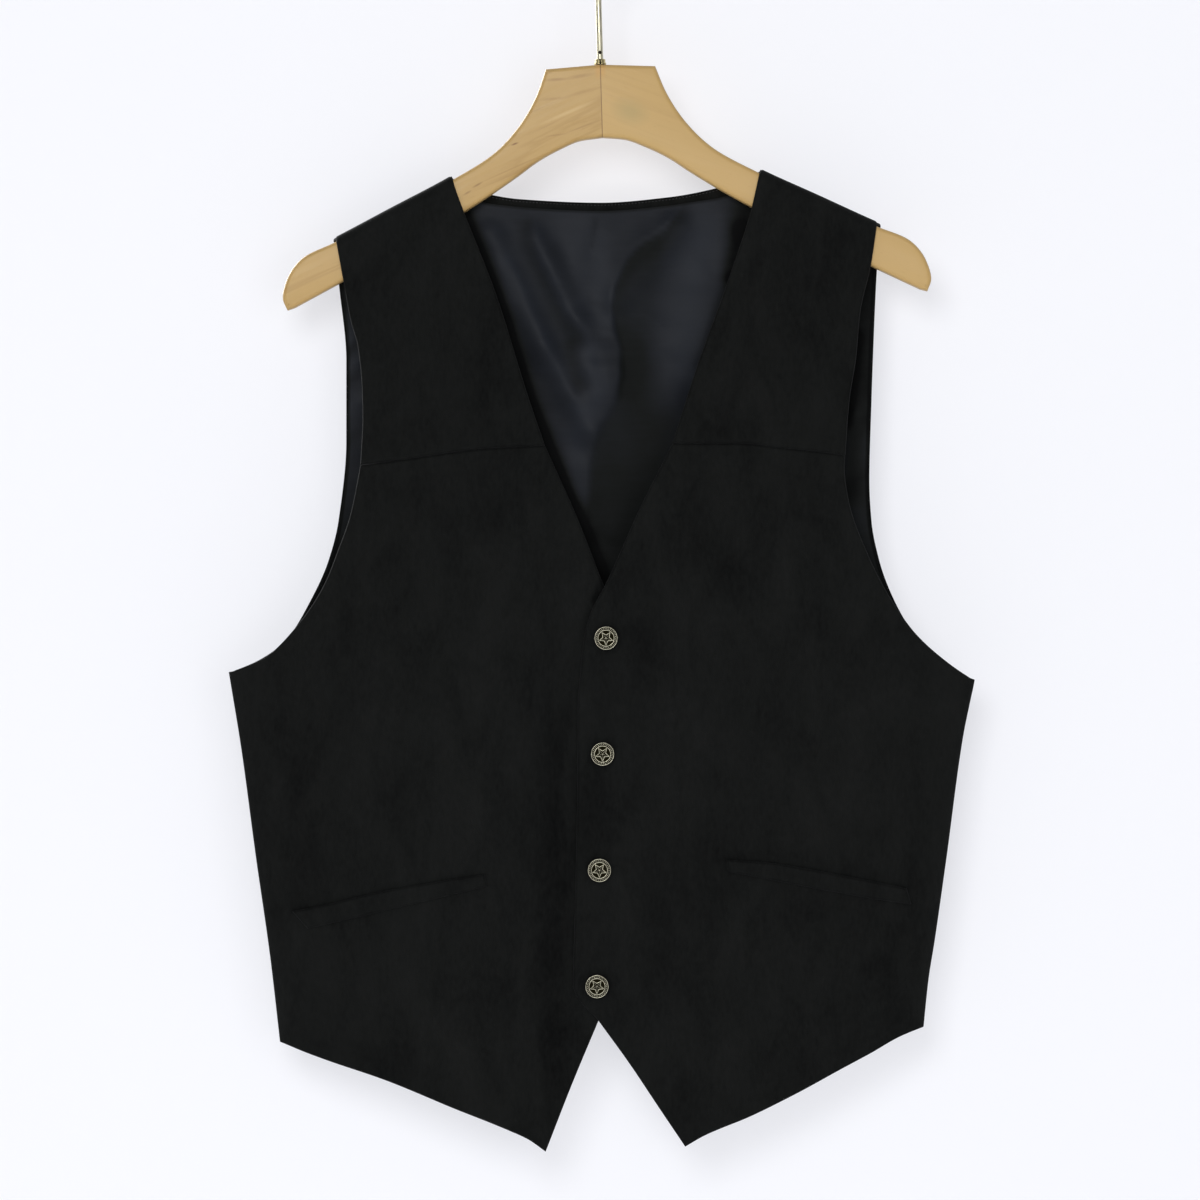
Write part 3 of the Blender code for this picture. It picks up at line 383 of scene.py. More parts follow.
LINING_CREASES = (
    ((-2, -206), (-7, -238), 1, 3, -0.5),
    ((-26, -206), (-14, -262), -3, 6, 0.4),
    ((30, -232), (28, -380), 3, 12, -0.9),
    ((70, -206), (62, -330), 4, 14, 0.6),
    ((-60, -330), (-14, -420), 5, 8, 0.6),
)
# Small creases beside the armholes, where the lining is eased in.
LINING_PUCKERS = (
    ((-186, -298), (-158, -276), 0.6, 3.2, 1.1),
    ((-186, -308), (-158, -287), -0.6, 3, -1.2),
    ((-186, -317), (-157, -297), 0.8, 3.4, 1.2),
    ((-186, -330), (-157, -309), -0.8, 3.2, -1),
    ((-187, -346), (-156, -326), 1, 4.4, 0.9),
    ((-188, -372), (-156, -350), -1, 5, -0.7),
    ((200, -330), (168, -356), 1, 4.4, 0.8),
    ((202, -376), (168, -398), -1, 4.4, -0.8),
)
# Pleats: the cloth stands up along one side of a line, with painted shade beside it on the
# other: (x, z) points, how sharp it is, how far it reaches, height, painted shade. The
# painted shade is on the left of someone who goes along the line.
LINING_PLEATS = (
    (((62, -192), (54.5, -204), (45.5, -216), (28, -227), (19.6, -236),
      (11.2, -255), (8.4, -269), (11.2, -286), (15.4, -300), (15.4, -318),
      (11.2, -337)), 1.8, 13, 1.6, -1),
    (((15.4, -300), (15.4, -318), (11.2, -337), (1.4, -353), (-4.2, -367),
      (-7, -388), (-8.4, -412), (-6, -450)), 3.4, 30, 1.4, -0.7),
    ((*UPPER_CREST[::-1], (-48, -202)), 4.2, 10.5, 0.6, -0.8),
    (LOWER_CREST[::-1], 3.6, 7, 0.5, -0.45),
)
PLEAT_FADE = 0.09         # share of its length over which a pleat sets in and dies out
PUCKER_SHADE = 0.5        # painted light for each mm of a pucker: painted shade in its dips, painted highlight on its crests

# ---------------------------------------------------------------- how cloth takes the light
# Painted light and shade, soft marks of painted shadow and painted sheen: a line of (x, z)
# points, half width, strength, from dark (-) to light (+). Where creases and pressed cloth
# show, they go with the creases above.
YOKE_PAINTED_LIGHT = (
    (((-120, -215), (-128, -300)), 22, 0.35),
    (((-90, -290), (-84, -350)), 15, -0.3),
    (((110, -330), (150, -350)), 22, 0.45),
    (((150, -240), (140, -300)), 16, -0.35),
)
FRONT_RIGHT_PAINTED_LIGHT = (
    # painted shadow in the gap under the lap's edge, at the bottom of the V
    (((4, -460), (-3, -474)), 3.6, -3),
    (((-3, -474), (-12, -498)), 2.6, -1.6),
    # painted shade beside the lap's edge
    (((-30, -560), (-30, -650), (-34, -840)), 13, -1.3),
    (((-22, -520), (-22, -560)), 6, -0.7),
    (((-118, -560), (-100, -650)), 26, 0.8),
    (((-150, -740), (-90, -800)), 24, 0.5),
    (((-210, -600), (-204, -660)), 20, -0.4),
    (((-62, -690), (-66, -740)), 14, -0.5),
    (((-60, -440), (-80, -500)), 18, 0.4),
    (((-56, -576), (-60, -600), (-50, -640)), 5, 0.6),
)
FRONT_LEFT_PAINTED_LIGHT = (
    (((32, -440), (30, -560)), 11, -0.9),
    (((62, -470), (60, -600)), 18, 0.6),
    (((110, -440), (100, -560)), 20, -0.4),
    (((44, -640), (46, -720)), 10, -0.5),
    (((160, -540), (170, -620)), 24, 0.4),
    (((60, -760), (100, -810)), 18, 0.4),
    (((190, -720), (180, -780)), 18, -0.4),
    # painted shadow above the welt's upper edge
    (((84, -655), (120, -652), (200, -668)), 5, -0.6),
)
# painted sheen and painted shade on the satin
LINING_PAINTED_LIGHT = (
    (LOWER_CREST, 5.4, 0.55),
    (UPPER_CREST, 4.8, 0.45),
    (((-31.5, -230), (-17.5, -258)), 5, -0.35),
    (((-21, -297), (-15, -325)), 6, -0.7),
    (((-22, -214), (-10, -262)), 14, 0.5),
    (((0, -222), (4, -290)), 8, 0.4),
    (((-7, -265), (6, -270)), 3.5, -0.3),
    (((-4, -291), (8, -293)), 3.5, -0.35),
    (((-3, -209), (-6, -227)), 2, -0.5),
    (((-7, -305), (0, -325), (-9, -350)), 8, 0.8),
    (((-75, -216), (-62, -262)), 5, 0.3),
    (((-62, -275), (-36, -338)), 6, -0.25),
    (((38, -232), (33, -262), (28, -300)), 10, -0.5),
    (((24, -300), (29, -335), (32, -365)), 14, -0.35),
    (((48, -356), (38, -384), (22, -420)), 17, -0.75),
    (((14, -392), (20, -440)), 20, -0.3),
    (((72, -212), (64, -262), (60, -315)), 17, 0.8),
    (((-18, -362), (-13, -400)), 8, 0.7),
)
LINING_DARKEST = -1.05    # no fold is darker than this; only these deep shadows are
LINING_SHADOWS = (
    (((-100, -184), (-95, -203.7), (-72, -261), (-50, -332), (-14, -421),
      (4, -466)), 5.2, -3),
    (((106, -186), (101, -212)), 11, -1.6),
    (((98, -215), (91, -248)), 6, -1.8),
    (((91, -248), (68, -310)), 3, -0.9),
    (((179, -290), (176, -320), (173, -350)), 5, -2.4),
    (((192, -240), (188, -300), (186, -346)), 12, -1.5),
    (((180, -362), (178, -400)), 8, -1.1),
    (((-180, -240), (-176, -268)), 6, -1),
    (((-186, -440), (-215, -500)), 8, -1),
)
LINING_PAINTED_SHADE_DEPTHS = (350.0, 455.0)   # painted shade deep in the V: the lining darkens between these depths below the hook

# ---------------------------------------------------------------- how fine the cloth is
CLOTH_STEP = 2.8          # between rows and columns of points
RIM_STEPS = (0.12, 0.4, 0.8, 1.3, 1.9, 2.6)
CURL_STEPS = (0.12, 0.35, 0.8, 1.4, 2.1, 3.0, 4.0, 5.2, 6.5, 8.0)
RIM_RADIUS = 1.9          # the turned edge rolls off within this width,
RIM_LEAST = 0.04          # down to this share of the thickness
ALLOWANCE = 9.0           # seam allowances thicken the cloth this far in
ALLOWANCE_FADE = 3.0
ALLOWANCE_RISE = 0.3
RIM_SHADE = 0.9           # painted shade along turned edges
RIM_SHADE_REACH = (0.9, 2.0)
CREASE_SHADE = 0.45       # painted light for each mm of a fine crease: painted shade in its trough, painted highlight on its ridge
SHARP_ANGLE = 50.0        # edges sharper than this aren't shaded smooth, on cloth
HARD_SHARP_ANGLE = 35.0   # and on wood and metal


# ---------------------------------------------------------------- curves
def smooth_step(value, start, end):
    """0 before start, 1 after end, smooth between."""
    t = np.clip((value - start) / (end - start), 0.0, 1.0)
    return t * t * (3 - 2 * t)


def curve(stations, values, at):
    """A smooth curve through knots that never overshoots them, at an array of places."""
    stations = np.asarray(stations, float)
    values = np.asarray(values, float)
    at = np.clip(at, stations[0], stations[-1])
    step = np.diff(stations)
    slope = np.diff(values) / step
    knot = np.empty(len(values))
    knot[0] = slope[0]
    knot[-1] = slope[-1]
    before = slope[:-1]
    after = slope[1:]
    total = np.where(before + after == 0, 1.0, before + after)
    knot[1:-1] = np.where(before * after > 0, 2 * before * after / total, 0.0)
    i = np.clip(np.searchsorted(stations, at, side="right") - 1, 0, len(step) - 1)
    t = (at - stations[i]) / step[i]
    return (
        (2 * t**3 - 3 * t**2 + 1) * values[i]
        + (t**3 - 2 * t**2 + t) * knot[i] * step[i]
        + (3 * t**2 - 2 * t**3) * values[i + 1]
        + (t**3 - t**2) * knot[i + 1] * step[i]
    )


def run_points(run, at):
    """Points (x, z) of one run."""
    columns = list(zip(*run))
    return np.stack([curve(columns[0], columns[1], at), curve(columns[0], columns[2], at)], -1)


def edge_points(runs, at):
    """Points (x, z) of an edge made of runs."""
    at = np.atleast_1d(np.asarray(at, float))
    found = run_points(runs[-1], at)
    for run in reversed(runs[:-1]):
        here = at <= run[-1][0]
        found[here] = run_points(run, at[here])
    return found


def patch_points(first, last, top, bottom, u, v):
    """Points (x, z) of a panel between four edges, u across it and v down it."""
    ends = np.array((0.0, 1.0))
    a = edge_points(first, v)[:, None]
    b = edge_points(last, v)[:, None]
    first_ends = edge_points(first, ends)[:, None, None]
    last_ends = edge_points(last, ends)[:, None, None]
    across = u[None, :, None]
    down = v[:, None, None]
    flat = (1 - down) * ((1 - across) * first_ends[0] + across * last_ends[0])
    flat = flat + down * ((1 - across) * first_ends[1] + across * last_ends[1])
    return (1 - across) * a + across * b + (1 - down) * top(u)[None] + down * bottom(u)[None] - flat


def stations(knots, length, top_steps=RIM_STEPS):
    """Knots and places between them a step apart at most, and closer at both rims."""
    marks = set(knots)
    marks |= {knots[0] + step / length for step in top_steps}
    marks |= {knots[-1] - step / length for step in RIM_STEPS}
    marks = sorted(marks)
    found = []
    for a, b in zip(marks, marks[1:]):
        count = max(1, math.ceil((b - a) * length / CLOTH_STEP))
        found += [a + (b - a) * i / count for i in range(count)]
    return np.array(found + [marks[-1]])


# ---------------------------------------------------------------- depth of the cloth
def ridge_height(x):
    """Height of the cloth's inner face where it lies over the hanger, at width x."""
    rows = HANGER_ARM_TOP[:-TIP_ROWS]
    columns = list(zip(*rows))
    tilt = math.radians(HANGER_TILT)
    side = np.where(x > 0, 1.0, -1.0)
    reach = np.abs(x)
    for _ in range(RIDGE_STEPS):
        height = curve(columns[0], columns[1], reach)
        found_x = side * reach * math.cos(tilt) - height * math.sin(tilt) - CENTRE_FRONT_X
        found_z = side * reach * math.sin(tilt) + height * math.cos(tilt)
        reach = reach + side * (x - found_x)
    return found_z + RIDGE_CLEARANCE


def table_value(table, at):
    """Value from a table that runs down from the shoulders."""
    columns = list(zip(*table))
    return curve([-height for height in columns[0]], columns[1], -at)


def line_offset(points, x, z):
    """Distance of places from a line through points (x, z), positive on the left of someone
    who goes along it, and how far along it the nearest point is, from 0 to 1."""
    lengths = [math.dist(a, b) for a, b in zip(points, points[1:])]
    nearest = np.full(x.shape, np.inf)
    position = np.zeros(x.shape)
    passed = 0.0
    for start, end, length in zip(points, points[1:], lengths):
        run = (end[0] - start[0], end[1] - start[1])
        along = ((x - start[0]) * run[0] + (z - start[1]) * run[1]) / length**2
        along = np.clip(along, 0.0, 1.0)
        dx = x - start[0] - run[0] * along
        dz = z - start[1] - run[1] * along
        here = np.hypot(dx, dz) * np.where(dz * run[0] - dx * run[1] < 0, -1.0, 1.0)
        closer = np.abs(here) < np.abs(nearest)
        nearest = np.where(closer, here, nearest)
        position = np.where(closer, (passed + along * length) / sum(lengths), position)
        passed += length
    return nearest, position



def streaks(table, x, z):
    """Sum of folds or soft marks: each has its line of points, half width and strength."""
    total = np.zeros_like(x)
    for points, half_width, strength in table:
        offset, _ = line_offset(points, x, z)
        total += strength * np.exp(-((offset / half_width) ** 2))
    return total


def pleats(table, x, z):
    """Height and painted shade of pleats: each rises on one side of its line and has painted shade
    on the other.
    """
    height = np.zeros_like(x)
    painted_light = np.zeros_like(x)
    for points, soft, reach, rise, dark in table:
        offset, position = line_offset(points, x, z)
        share = smooth_step(position, 0.0, PLEAT_FADE)
        share = share * (1 - smooth_step(position, 1 - PLEAT_FADE, 1.0))
        share = share * np.exp(-((offset / reach) ** 2))
        height += rise * share * smooth_step(-offset, -soft, soft)
        painted_light += dark * share * smooth_step(offset, -soft, soft)
    return height, painted_light


def crease_height(creases, x, z):
    """Sum of the fine creases at places: bowed, and fading towards both ends."""
    total = np.zeros_like(x)
    for start, end, bow, half_width, height in creases:
        run = np.array((end[0] - start[0], end[1] - start[1]))
        length = np.linalg.norm(run)
        run = run / length
        along = ((x - start[0]) * run[0] + (z - start[1]) * run[1]) / length
        fade = np.sin(np.pi * np.clip(along, 0.0, 1.0))
        aside = (x - start[0]) * run[1] - (z - start[1]) * run[0] - bow * fade
        total += height * fade * np.exp(-np.abs(aside / half_width) ** CREASE_POWER)
    return total


def hills(kind, x, z, seed):
    """Soft hills and dips, of a height and a size across."""
    height, size = kind
    random = np.random.default_rng(seed)
    total = np.zeros_like(x)
    for _ in range(HILL_WAVES):
        turn = random.uniform(0.0, math.pi)
        length = size * random.uniform(*HILL_LENGTHS)
        phase = random.uniform(0.0, math.tau)
        total += np.sin(math.tau * (x * math.cos(turn) + z * math.sin(turn)) / length + phase)
    return height * total / math.sqrt(HILL_WAVES)


def stand_off(z, from_side, swell):
    """Distance of a wall's inner face from the seam plane: a lens, flat at the wood."""
    share = np.clip(from_side / SWELL_WIDTH, 0.0, 1.0)
    rise = (1 - (1 - share) ** LENS_POWER) ** LENS_ROOT
    at_wood = 1 - smooth_step(-z, -ARMHOLE_TOP, -LENS_TOP)
    rise = rise + (1 - rise) * at_wood
    closed = CLOTH_GAP / 2
    return closed + (table_value(swell, z) - closed) * rise


def curl(drop, reach):
    """Distance from the seam plane at a drop below the shoulder line."""
    share = 1 - np.clip(drop, 0.0, CURL_HEIGHT) / CURL_HEIGHT
    return np.maximum(reach * (1 - share**CURL_POWER) ** (1 / CURL_POWER), CLOTH_GAP / 2)


def side_roll(x, z, from_side):
    """Shift in x that keeps the outer face of a side seam on its outline."""
    roll = SIDE_SEAM_ROLL * smooth_step(-z, -UNDERARM - ROLL_WIDTH, -UNDERARM)
    roll = roll * (1 - smooth_step(from_side, 0.0, ROLL_WIDTH))
    return np.where(x < 0, roll, -roll)


def side_x(outer, v):
    """Width of the side seam at stations, carried straight up above the underarm."""
    return edge_points(outer, np.maximum(v, outer[-1][0][0]))[:, :1]


def on_ridge(runs):
    """An edge whose first knot lies on the shoulder line."""
    station, x, _ = runs[0][0]
    height = float(ridge_height(np.array([x]))[0])
    return (((station, x, height), *runs[0][1:]), *runs[1:])


# ---------------------------------------------------------------- meshes
def unit(vectors):
    """The same vectors, one unit long."""
    return vectors / np.maximum(np.linalg.norm(vectors, axis=-1, keepdims=True), 1e-12)


def grid_normals(grid, facing):
    """Unit normals of a grid of points, on the side that facing points to."""
    normal = unit(np.cross(np.gradient(grid, axis=0), np.gradient(grid, axis=1)))
    flip = np.sign(normal @ np.asarray(facing))
    return normal * np.where(flip == 0, 1.0, flip)[..., None]


def edge_distance(grid):
    """Distance of each point from the nearest rim of its grid, along rows and columns."""
    found = np.full(grid.shape[:2], np.inf)
    for rim in (grid[:1], grid[-1:], grid[:, :1], grid[:, -1:]):
        found = np.minimum(found, np.linalg.norm(grid - rim, axis=-1))
    return found


def add_object(name, data):
    """A new object in the scene."""
    made = bpy.data.objects.new(name, data)
    bpy.context.scene.collection.objects.link(made)
    return made


def point_values(made, name, values):
    """Give an object's points values that its material reads."""
    layer = made.data.attributes.new(name, "FLOAT", "POINT")
    layer.data.foreach_set("value", values.astype(np.float32))


def mesh_object(name, points, faces, finish, sharp=SHARP_ANGLE):
    """An object from points in mm, shaded smooth."""
    mesh = bpy.data.meshes.new(name)
    mesh.from_pydata((np.asarray(points) * MM).tolist(), [], faces)
    bm = bmesh.new()
    bm.from_mesh(mesh)
    bmesh.ops.recalc_face_normals(bm, faces=bm.faces)
    bm.to_mesh(mesh)
    bm.free()
    mesh.materials.append(finish)
    mesh.shade_smooth()
    mesh.set_sharp_from_angle(angle=math.radians(sharp))
    return add_object(name, mesh)


def wall(name, near, far, painted_light, finish):
    """A closed wall between two grids of points, in mm, with painted light and shade for each of
    them.
    """
    rows, columns = near.shape[:2]
    index = np.arange(rows * columns).reshape(rows, columns)
    quads = np.stack([index[:-1, :-1], index[:-1, 1:], index[1:, 1:], index[1:, :-1]], -1)
    quads = quads.reshape(-1, 4)
    other = quads[:, ::-1] + rows * columns
    ring = np.concatenate([index[0, :-1], index[:-1, -1], index[-1, :0:-1], index[:0:-1, 0]])
    after = np.roll(ring, -1)
    rim = np.stack([after, ring, ring + rows * columns, after + rows * columns], -1)
    faces = np.concatenate([quads, other, rim]).tolist()
    points = np.concatenate([near.reshape(-1, 3), far.reshape(-1, 3)])
    points = points + (CENTRE_FRONT_X, 0.0, 0.0)
    made = mesh_object(name, points, faces, finish)
    # painted light and shade, which the cloth's materials add to their colour
    point_values(made, "painted_light", np.tile(painted_light.ravel(), 2))
    return made


def turned_wall(name, inner, thickness, facing, painted_light, finish, rise=ALLOWANCE_RISE):
    """Cloth from its inner points: rims that roll off, and thicker seam allowances."""
    distance = edge_distance(inner)
    # painted shade along the rims
    painted_light = painted_light - RIM_SHADE * (1 - smooth_step(distance, *RIM_SHADE_REACH))
    roll = 1 - np.clip(distance / RIM_RADIUS, 0.0, 1.0)
    rolled = np.maximum(np.sqrt(1 - roll**2), RIM_LEAST)
    allowance = rise * (1 - smooth_step(distance, ALLOWANCE, ALLOWANCE + ALLOWANCE_FADE))
    normals = grid_normals(inner, facing)
    outer = inner + normals * ((thickness + allowance) * rolled)[..., None]
    return wall(name, inner, outer, painted_light, finish)


FORWARD = (0.0, -1.0, 0.15)
BACKWARD = (0.0, 1.0, 0.15)


# ---------------------------------------------------------------- suede panels
def yoke(name, armhole, neck, seam, folds, creases, seed, finish):
    """A front yoke, from the shoulder seam to the yoke seam."""
    armhole = on_ridge(armhole)
    neck = on_ridge(neck)
    width = abs(neck[0][0][1] - armhole[0][0][1])
    length = armhole[0][0][2] - armhole[-1][-1][2]
    knots_down = sorted({row[0] for row in armhole[0]} | {row[0] for row in neck[0]})
    u = stations((0.0, 1.0), width)
    v = stations(knots_down, length, CURL_STEPS)

    def top(at):
        x = armhole[0][0][1] + (neck[0][0][1] - armhole[0][0][1]) * at
        return np.stack([x, ridge_height(x)], -1)

    flat = patch_points(armhole, neck, top, lambda at: edge_points(seam, at), u, v)
    x = flat[..., 0]
    z = flat[..., 1]
    from_side = np.abs(x - np.where(x > 0, UNDERARM_X[1], UNDERARM_X[0]))
    reach = stand_off(z, from_side, FRONT_SWELL) + streaks(folds, x, z)
    fade = smooth_step(ridge_height(x) - z, 0.0, FOLD_FADE)
    fine = crease_height(creases, x, z)
    reach = reach + (fine + hills(YOKE_HILLS, x, z, seed)) * fade
    depth = curl(ridge_height(x) - z, reach)
    depth = depth + YOKE_PROUD * smooth_step(v, YOKE_LIFT_START, 1.0)[:, None]
    grid = np.stack([x, -depth, z + CLOTH_GAP / 2 * v[:, None]], -1)
    painted_light = CREASE_SHADE * fine + streaks(YOKE_PAINTED_LIGHT, x, z)
    return turned_wall(name, grid, SUEDE, FORWARD, painted_light, finish)


def snap_pull(x, z):
    """Soft dimples round the snaps, and slack between them, along the lap."""
    total = np.zeros_like(x)
    depth, radius = SNAP_DIMPLE
    for snap_x, snap_z in zip(BUTTON_X, BUTTON_Z):
        down = z - snap_z
        distance = np.hypot(x - snap_x, down * SNAP_DIMPLE_SQUEEZE)
        total -= depth * np.exp(-((distance / radius) ** 2))
        wave = SLACK_HEIGHT * np.cos(down * SLACK_TURN) * np.exp(-((down / SLACK_SIZE[1]) ** 2))
        for side in (-1.0, 1.0):
            aside = x - snap_x - side * SLACK_ASIDE
            total += wave * np.exp(-((aside / SLACK_SIZE[0]) ** 2))
    return total


def snap_shade(x, z):
    """Painted shadow: a dark ring round each cap."""
    total = np.zeros_like(x)
    strength, radius, power = SNAP_SHADE
    for snap_x, snap_z in zip(BUTTON_X, BUTTON_Z):
        total -= strength * np.exp(-((np.hypot(x - snap_x, z - snap_z) / radius) ** power))
    return total


def welt_shade(x, z):
    """Painted shadow: dark lines along a welt's edges on the front."""
    lines = []
    for upper, lower in (RIGHT_WELT, LEFT_WELT):
        lines.append((upper, UPPER_WELT_SHADE[1], -UPPER_WELT_SHADE[0]))
        lines.append((lower, LOWER_WELT_SHADE[1], -LOWER_WELT_SHADE[0]))
    return streaks(lines, x, z)


def front(name, outer, inner, seam, hem, folds, creases, under, seed, finish):
    """A front below the yoke seam; the under one dips behind the lap."""
    knots = sorted({row[0] for run in (*outer, *inner) for row in run})
    across = sorted({row[0] for run in (*seam, *hem) for row in run})
    u = stations(across, abs(outer[-1][0][1] - inner[-1][0][1]))
    v = stations(knots, outer[0][0][2] - hem[-1][-1][2])
    flat = patch_points(outer, inner, lambda at: edge_points(seam, at),
                        lambda at: edge_points(hem, at), u, v)
    x = flat[..., 0]
    z = flat[..., 1]
    from_side = np.abs(x - side_x(outer, v))
    fade = smooth_step(from_side, 0.0, FOLD_FADE)
    depth = stand_off(z, from_side, FRONT_SWELL) + streaks(folds, x, z) * fade
    fine = crease_height(creases, x, z)
    relief = fine + hills(FRONT_HILLS, x, z, seed)
    painted_light = CREASE_SHADE * fine + welt_shade(x, z)
    if under:
        dip = smooth_step(x, *LAP_DIP_REACH)
        depth = depth - LAP_DIP * dip
        relief = relief * (1 - dip)
        painted_light = painted_light + streaks(FRONT_RIGHT_PAINTED_LIGHT, x, z)
    else:
        relief = relief + snap_pull(x, z)
        painted_light = painted_light + streaks(FRONT_LEFT_PAINTED_LIGHT, x, z) + snap_shade(x, z)
    depth = depth + relief * smooth_step(from_side, *FRONT_SETTLE)
    x = x + side_roll(x, z, from_side)
    grid = np.stack([x, -depth, z - CLOTH_GAP / 2 * (1 - v[:, None])], -1)
    return turned_wall(name, grid, SUEDE, FORWARD, painted_light, finish)


def back_top(at):
    """The back's top edge: a shoulder, the neck and the other shoulder."""
    first_x = BACK_RIGHT_EDGE[0][0][1]
    last_x = BACK_LEFT_EDGE[0][0][1]
    near_x = BACK_NECK[0][1]
    far_x = BACK_NECK[-1][1]
    x = np.where(at < 0.5, first_x + (near_x - first_x) * at / SHOULDER_SHARE,
                 last_x + (far_x - last_x) * (1 - at) / SHOULDER_SHARE)
    shoulder = np.stack([x, ridge_height(x)], -1)
    ends = ridge_height(np.array((near_x, far_x)))
    neck = ((BACK_NECK[0][0], near_x, float(ends[0])), *BACK_NECK[1:-1],
            (BACK_NECK[-1][0], far_x, float(ends[1])))
    inside = (at > SHOULDER_SHARE) & (at < 1 - SHOULDER_SHARE)
    return np.where(inside[:, None], run_points(neck, at), shoulder)


def back_outline(u, v):
    """Flat places (x, z) of the back, and the widths of its two side seams in each row."""
    first = on_ridge(BACK_RIGHT_EDGE)
    last = on_ridge(BACK_LEFT_EDGE)
    flat = patch_points(first, last, back_top, lambda at: edge_points(BACK_HEM, at), u, v)
    return flat[..., 0], flat[..., 1], side_x(first, v), side_x(last, v)


def back_points(x, z, seam_right, seam_left):
    """Inner points of the back at places."""
    from_side = np.minimum(x - seam_right, seam_left - x)
    drop = ridge_height(x) - z
    fade = smooth_step(from_side, 0.0, FOLD_FADE)
    reach = stand_off(z, from_side, BACK_SWELL) + streaks(BACK_FOLDS, x, z) * fade
    set_in = smooth_step(from_side, *BACK_SETTLE) * smooth_step(drop, 0.0, FOLD_FADE)
    relief = crease_height(BACK_CREASES, x, z) + hills(BACK_HILLS, x, z, RANDOM_SEED)
    reach = reach + relief * set_in
    depth = curl(drop, reach)
    x = x + side_roll(x, z, from_side)
    return np.stack([x, depth, z], -1)


BACK_WIDTH = 524.0
BACK_LENGTH = 570.0
BACK_KNOTS_ACROSS = (0.0, 0.22, 0.2215, 0.223, 0.225, 0.228, 0.232, 0.238, 0.246, 0.5,
                     0.754, 0.762, 0.768, 0.772, 0.775, 0.777, 0.7785, 0.78, 1.0)


def back_panel(finish):
    """The back, in one piece."""
    knots = sorted({row[0] for run in (*BACK_RIGHT_EDGE, *BACK_LEFT_EDGE) for row in run})
    u = stations(BACK_KNOTS_ACROSS, BACK_WIDTH)
    v = stations(knots, BACK_LENGTH, CURL_STEPS)
    x, z, seam_right, seam_left = back_outline(u, v)
    painted_light = CREASE_SHADE * crease_height(BACK_CREASES, x, z)
    points = back_points(x, z, seam_right, seam_left)
    return turned_wall("back_suede", points, SUEDE, BACKWARD, painted_light, finish)


LINING_LIMITS_DOWN = (0.0125, 0.988)   # where it starts and ends, in the back's stations
LINING_IN_ARMHOLE = 1.6   # it stops this far inside an armhole's edge,
LINING_IN_SEAM = 12.0     # and this far inside a side seam
LINING_NECK_RISE = 1.8    # at the neck it comes up closer to the back's edge,
LINING_NECK = (60.0, 94.0)   # between these widths,
LINING_RISE_FADE = 60.0   # and this comes to nothing so far down


def back_lining(finish):
    """The satin lining of the back, with the folds that show at the neck."""
    u = stations((0.0, 1.0), BACK_WIDTH)
    v = stations(LINING_LIMITS_DOWN, BACK_LENGTH)
    x, z, seam_right, seam_left = back_outline(u, v)
    start = np.maximum(x[:, :1] + LINING_IN_ARMHOLE, seam_right + LINING_IN_SEAM)
    end = np.minimum(x[:, -1:] - LINING_IN_ARMHOLE, seam_left - LINING_IN_SEAM)
    x = start + (end - start) * (x - x[:, :1]) / (x[:, -1:] - x[:, :1])
    at_neck = 1 - smooth_step(np.abs(x), *LINING_NECK)
    z = z + LINING_NECK_RISE * at_neck * (1 - smooth_step(z[:1] - z, 0.0, LINING_RISE_FADE))
    points = back_points(x, z, seam_right, seam_left)
    inner = points - grid_normals(points, BACKWARD) * (LINING_GAP + SATIN)
    x = inner[..., 0]
    z = inner[..., 2]
    pleat_height, pleat_painted_shade = pleats(LINING_PLEATS, x, z)
    puckers = crease_height(LINING_PUCKERS, x, z)
    folds = streaks(LINING_FOLDS, x, z) + crease_height(LINING_CREASES, x, z)
    folds = folds + pleat_height + puckers
    folds = folds + LINING_HILLS[0] * LINING_PROUD + hills(LINING_HILLS, x, z, RANDOM_SEED + 1)
    from_rim = edge_distance(inner)
    inner[..., 1] -= np.maximum(folds, 0.0) * smooth_step(from_rim, *LINING_SETTLE)
    painted_light = streaks(LINING_PAINTED_LIGHT, x, z) + pleat_painted_shade - smooth_step(-z, *LINING_PAINTED_SHADE_DEPTHS)
    painted_light = np.maximum(painted_light, LINING_DARKEST) + streaks(LINING_SHADOWS, x, z)
    painted_light = painted_light + PUCKER_SHADE * puckers
    return turned_wall("lining_satin", inner, SATIN, BACKWARD, painted_light, finish, rise=0.0)


# ---------------------------------------------------------------- what lies on the fronts
IN_FRONT = -1.0           # metres, in front of everything


def seat_on(panel):
    """A function that gives the depth of a panel's front face at (x, z), in mm, if it is hit."""
    tree = BVHTree.FromObject(panel, bpy.context.evaluated_depsgraph_get())

    def depth(x, z):
        start = Vector(((x + CENTRE_FRONT_X) * MM, IN_FRONT, z * MM))
        hit = tree.ray_cast(start, Vector((0.0, 1.0, 0.0)))[0]
        return None if hit is None else hit.y / MM
    return depth


WELT_THICK = 1.5
WELT_STEP = 1.4


def welt(name, table, panel, finish):
    """A pocket's welt: a folded strip, fuller in the middle, its rims rolled under."""
    depth = seat_on(panel)
    upper, lower = table
    knots = np.linspace(0.0, 1.0, len(upper))
    upper_run = [(knot, *point) for knot, point in zip(knots, upper)]
    lower_run = [(knot, *point) for knot, point in zip(knots, lower)]
    length = math.dist(upper[0], upper[-1])
    height = max(math.dist(a, b) for a, b in zip(upper, lower))
    u = np.linspace(0.0, 1.0, round(length / WELT_STEP))
    v = stations((0.0, 1.0), height)
    high = run_points(upper_run, u)[None]
    low = run_points(lower_run, u)[None]
    flat = high + (low - high) * v[:, None, None]
    y = np.array([[depth(x, z) for x, z in row] for row in flat])
    inner = np.stack([flat[..., 0], y - WELT_GAP, flat[..., 1]], -1)
    return turned_wall(name, inner, WELT_THICK, FORWARD, np.zeros_like(y), finish, rise=0.0)


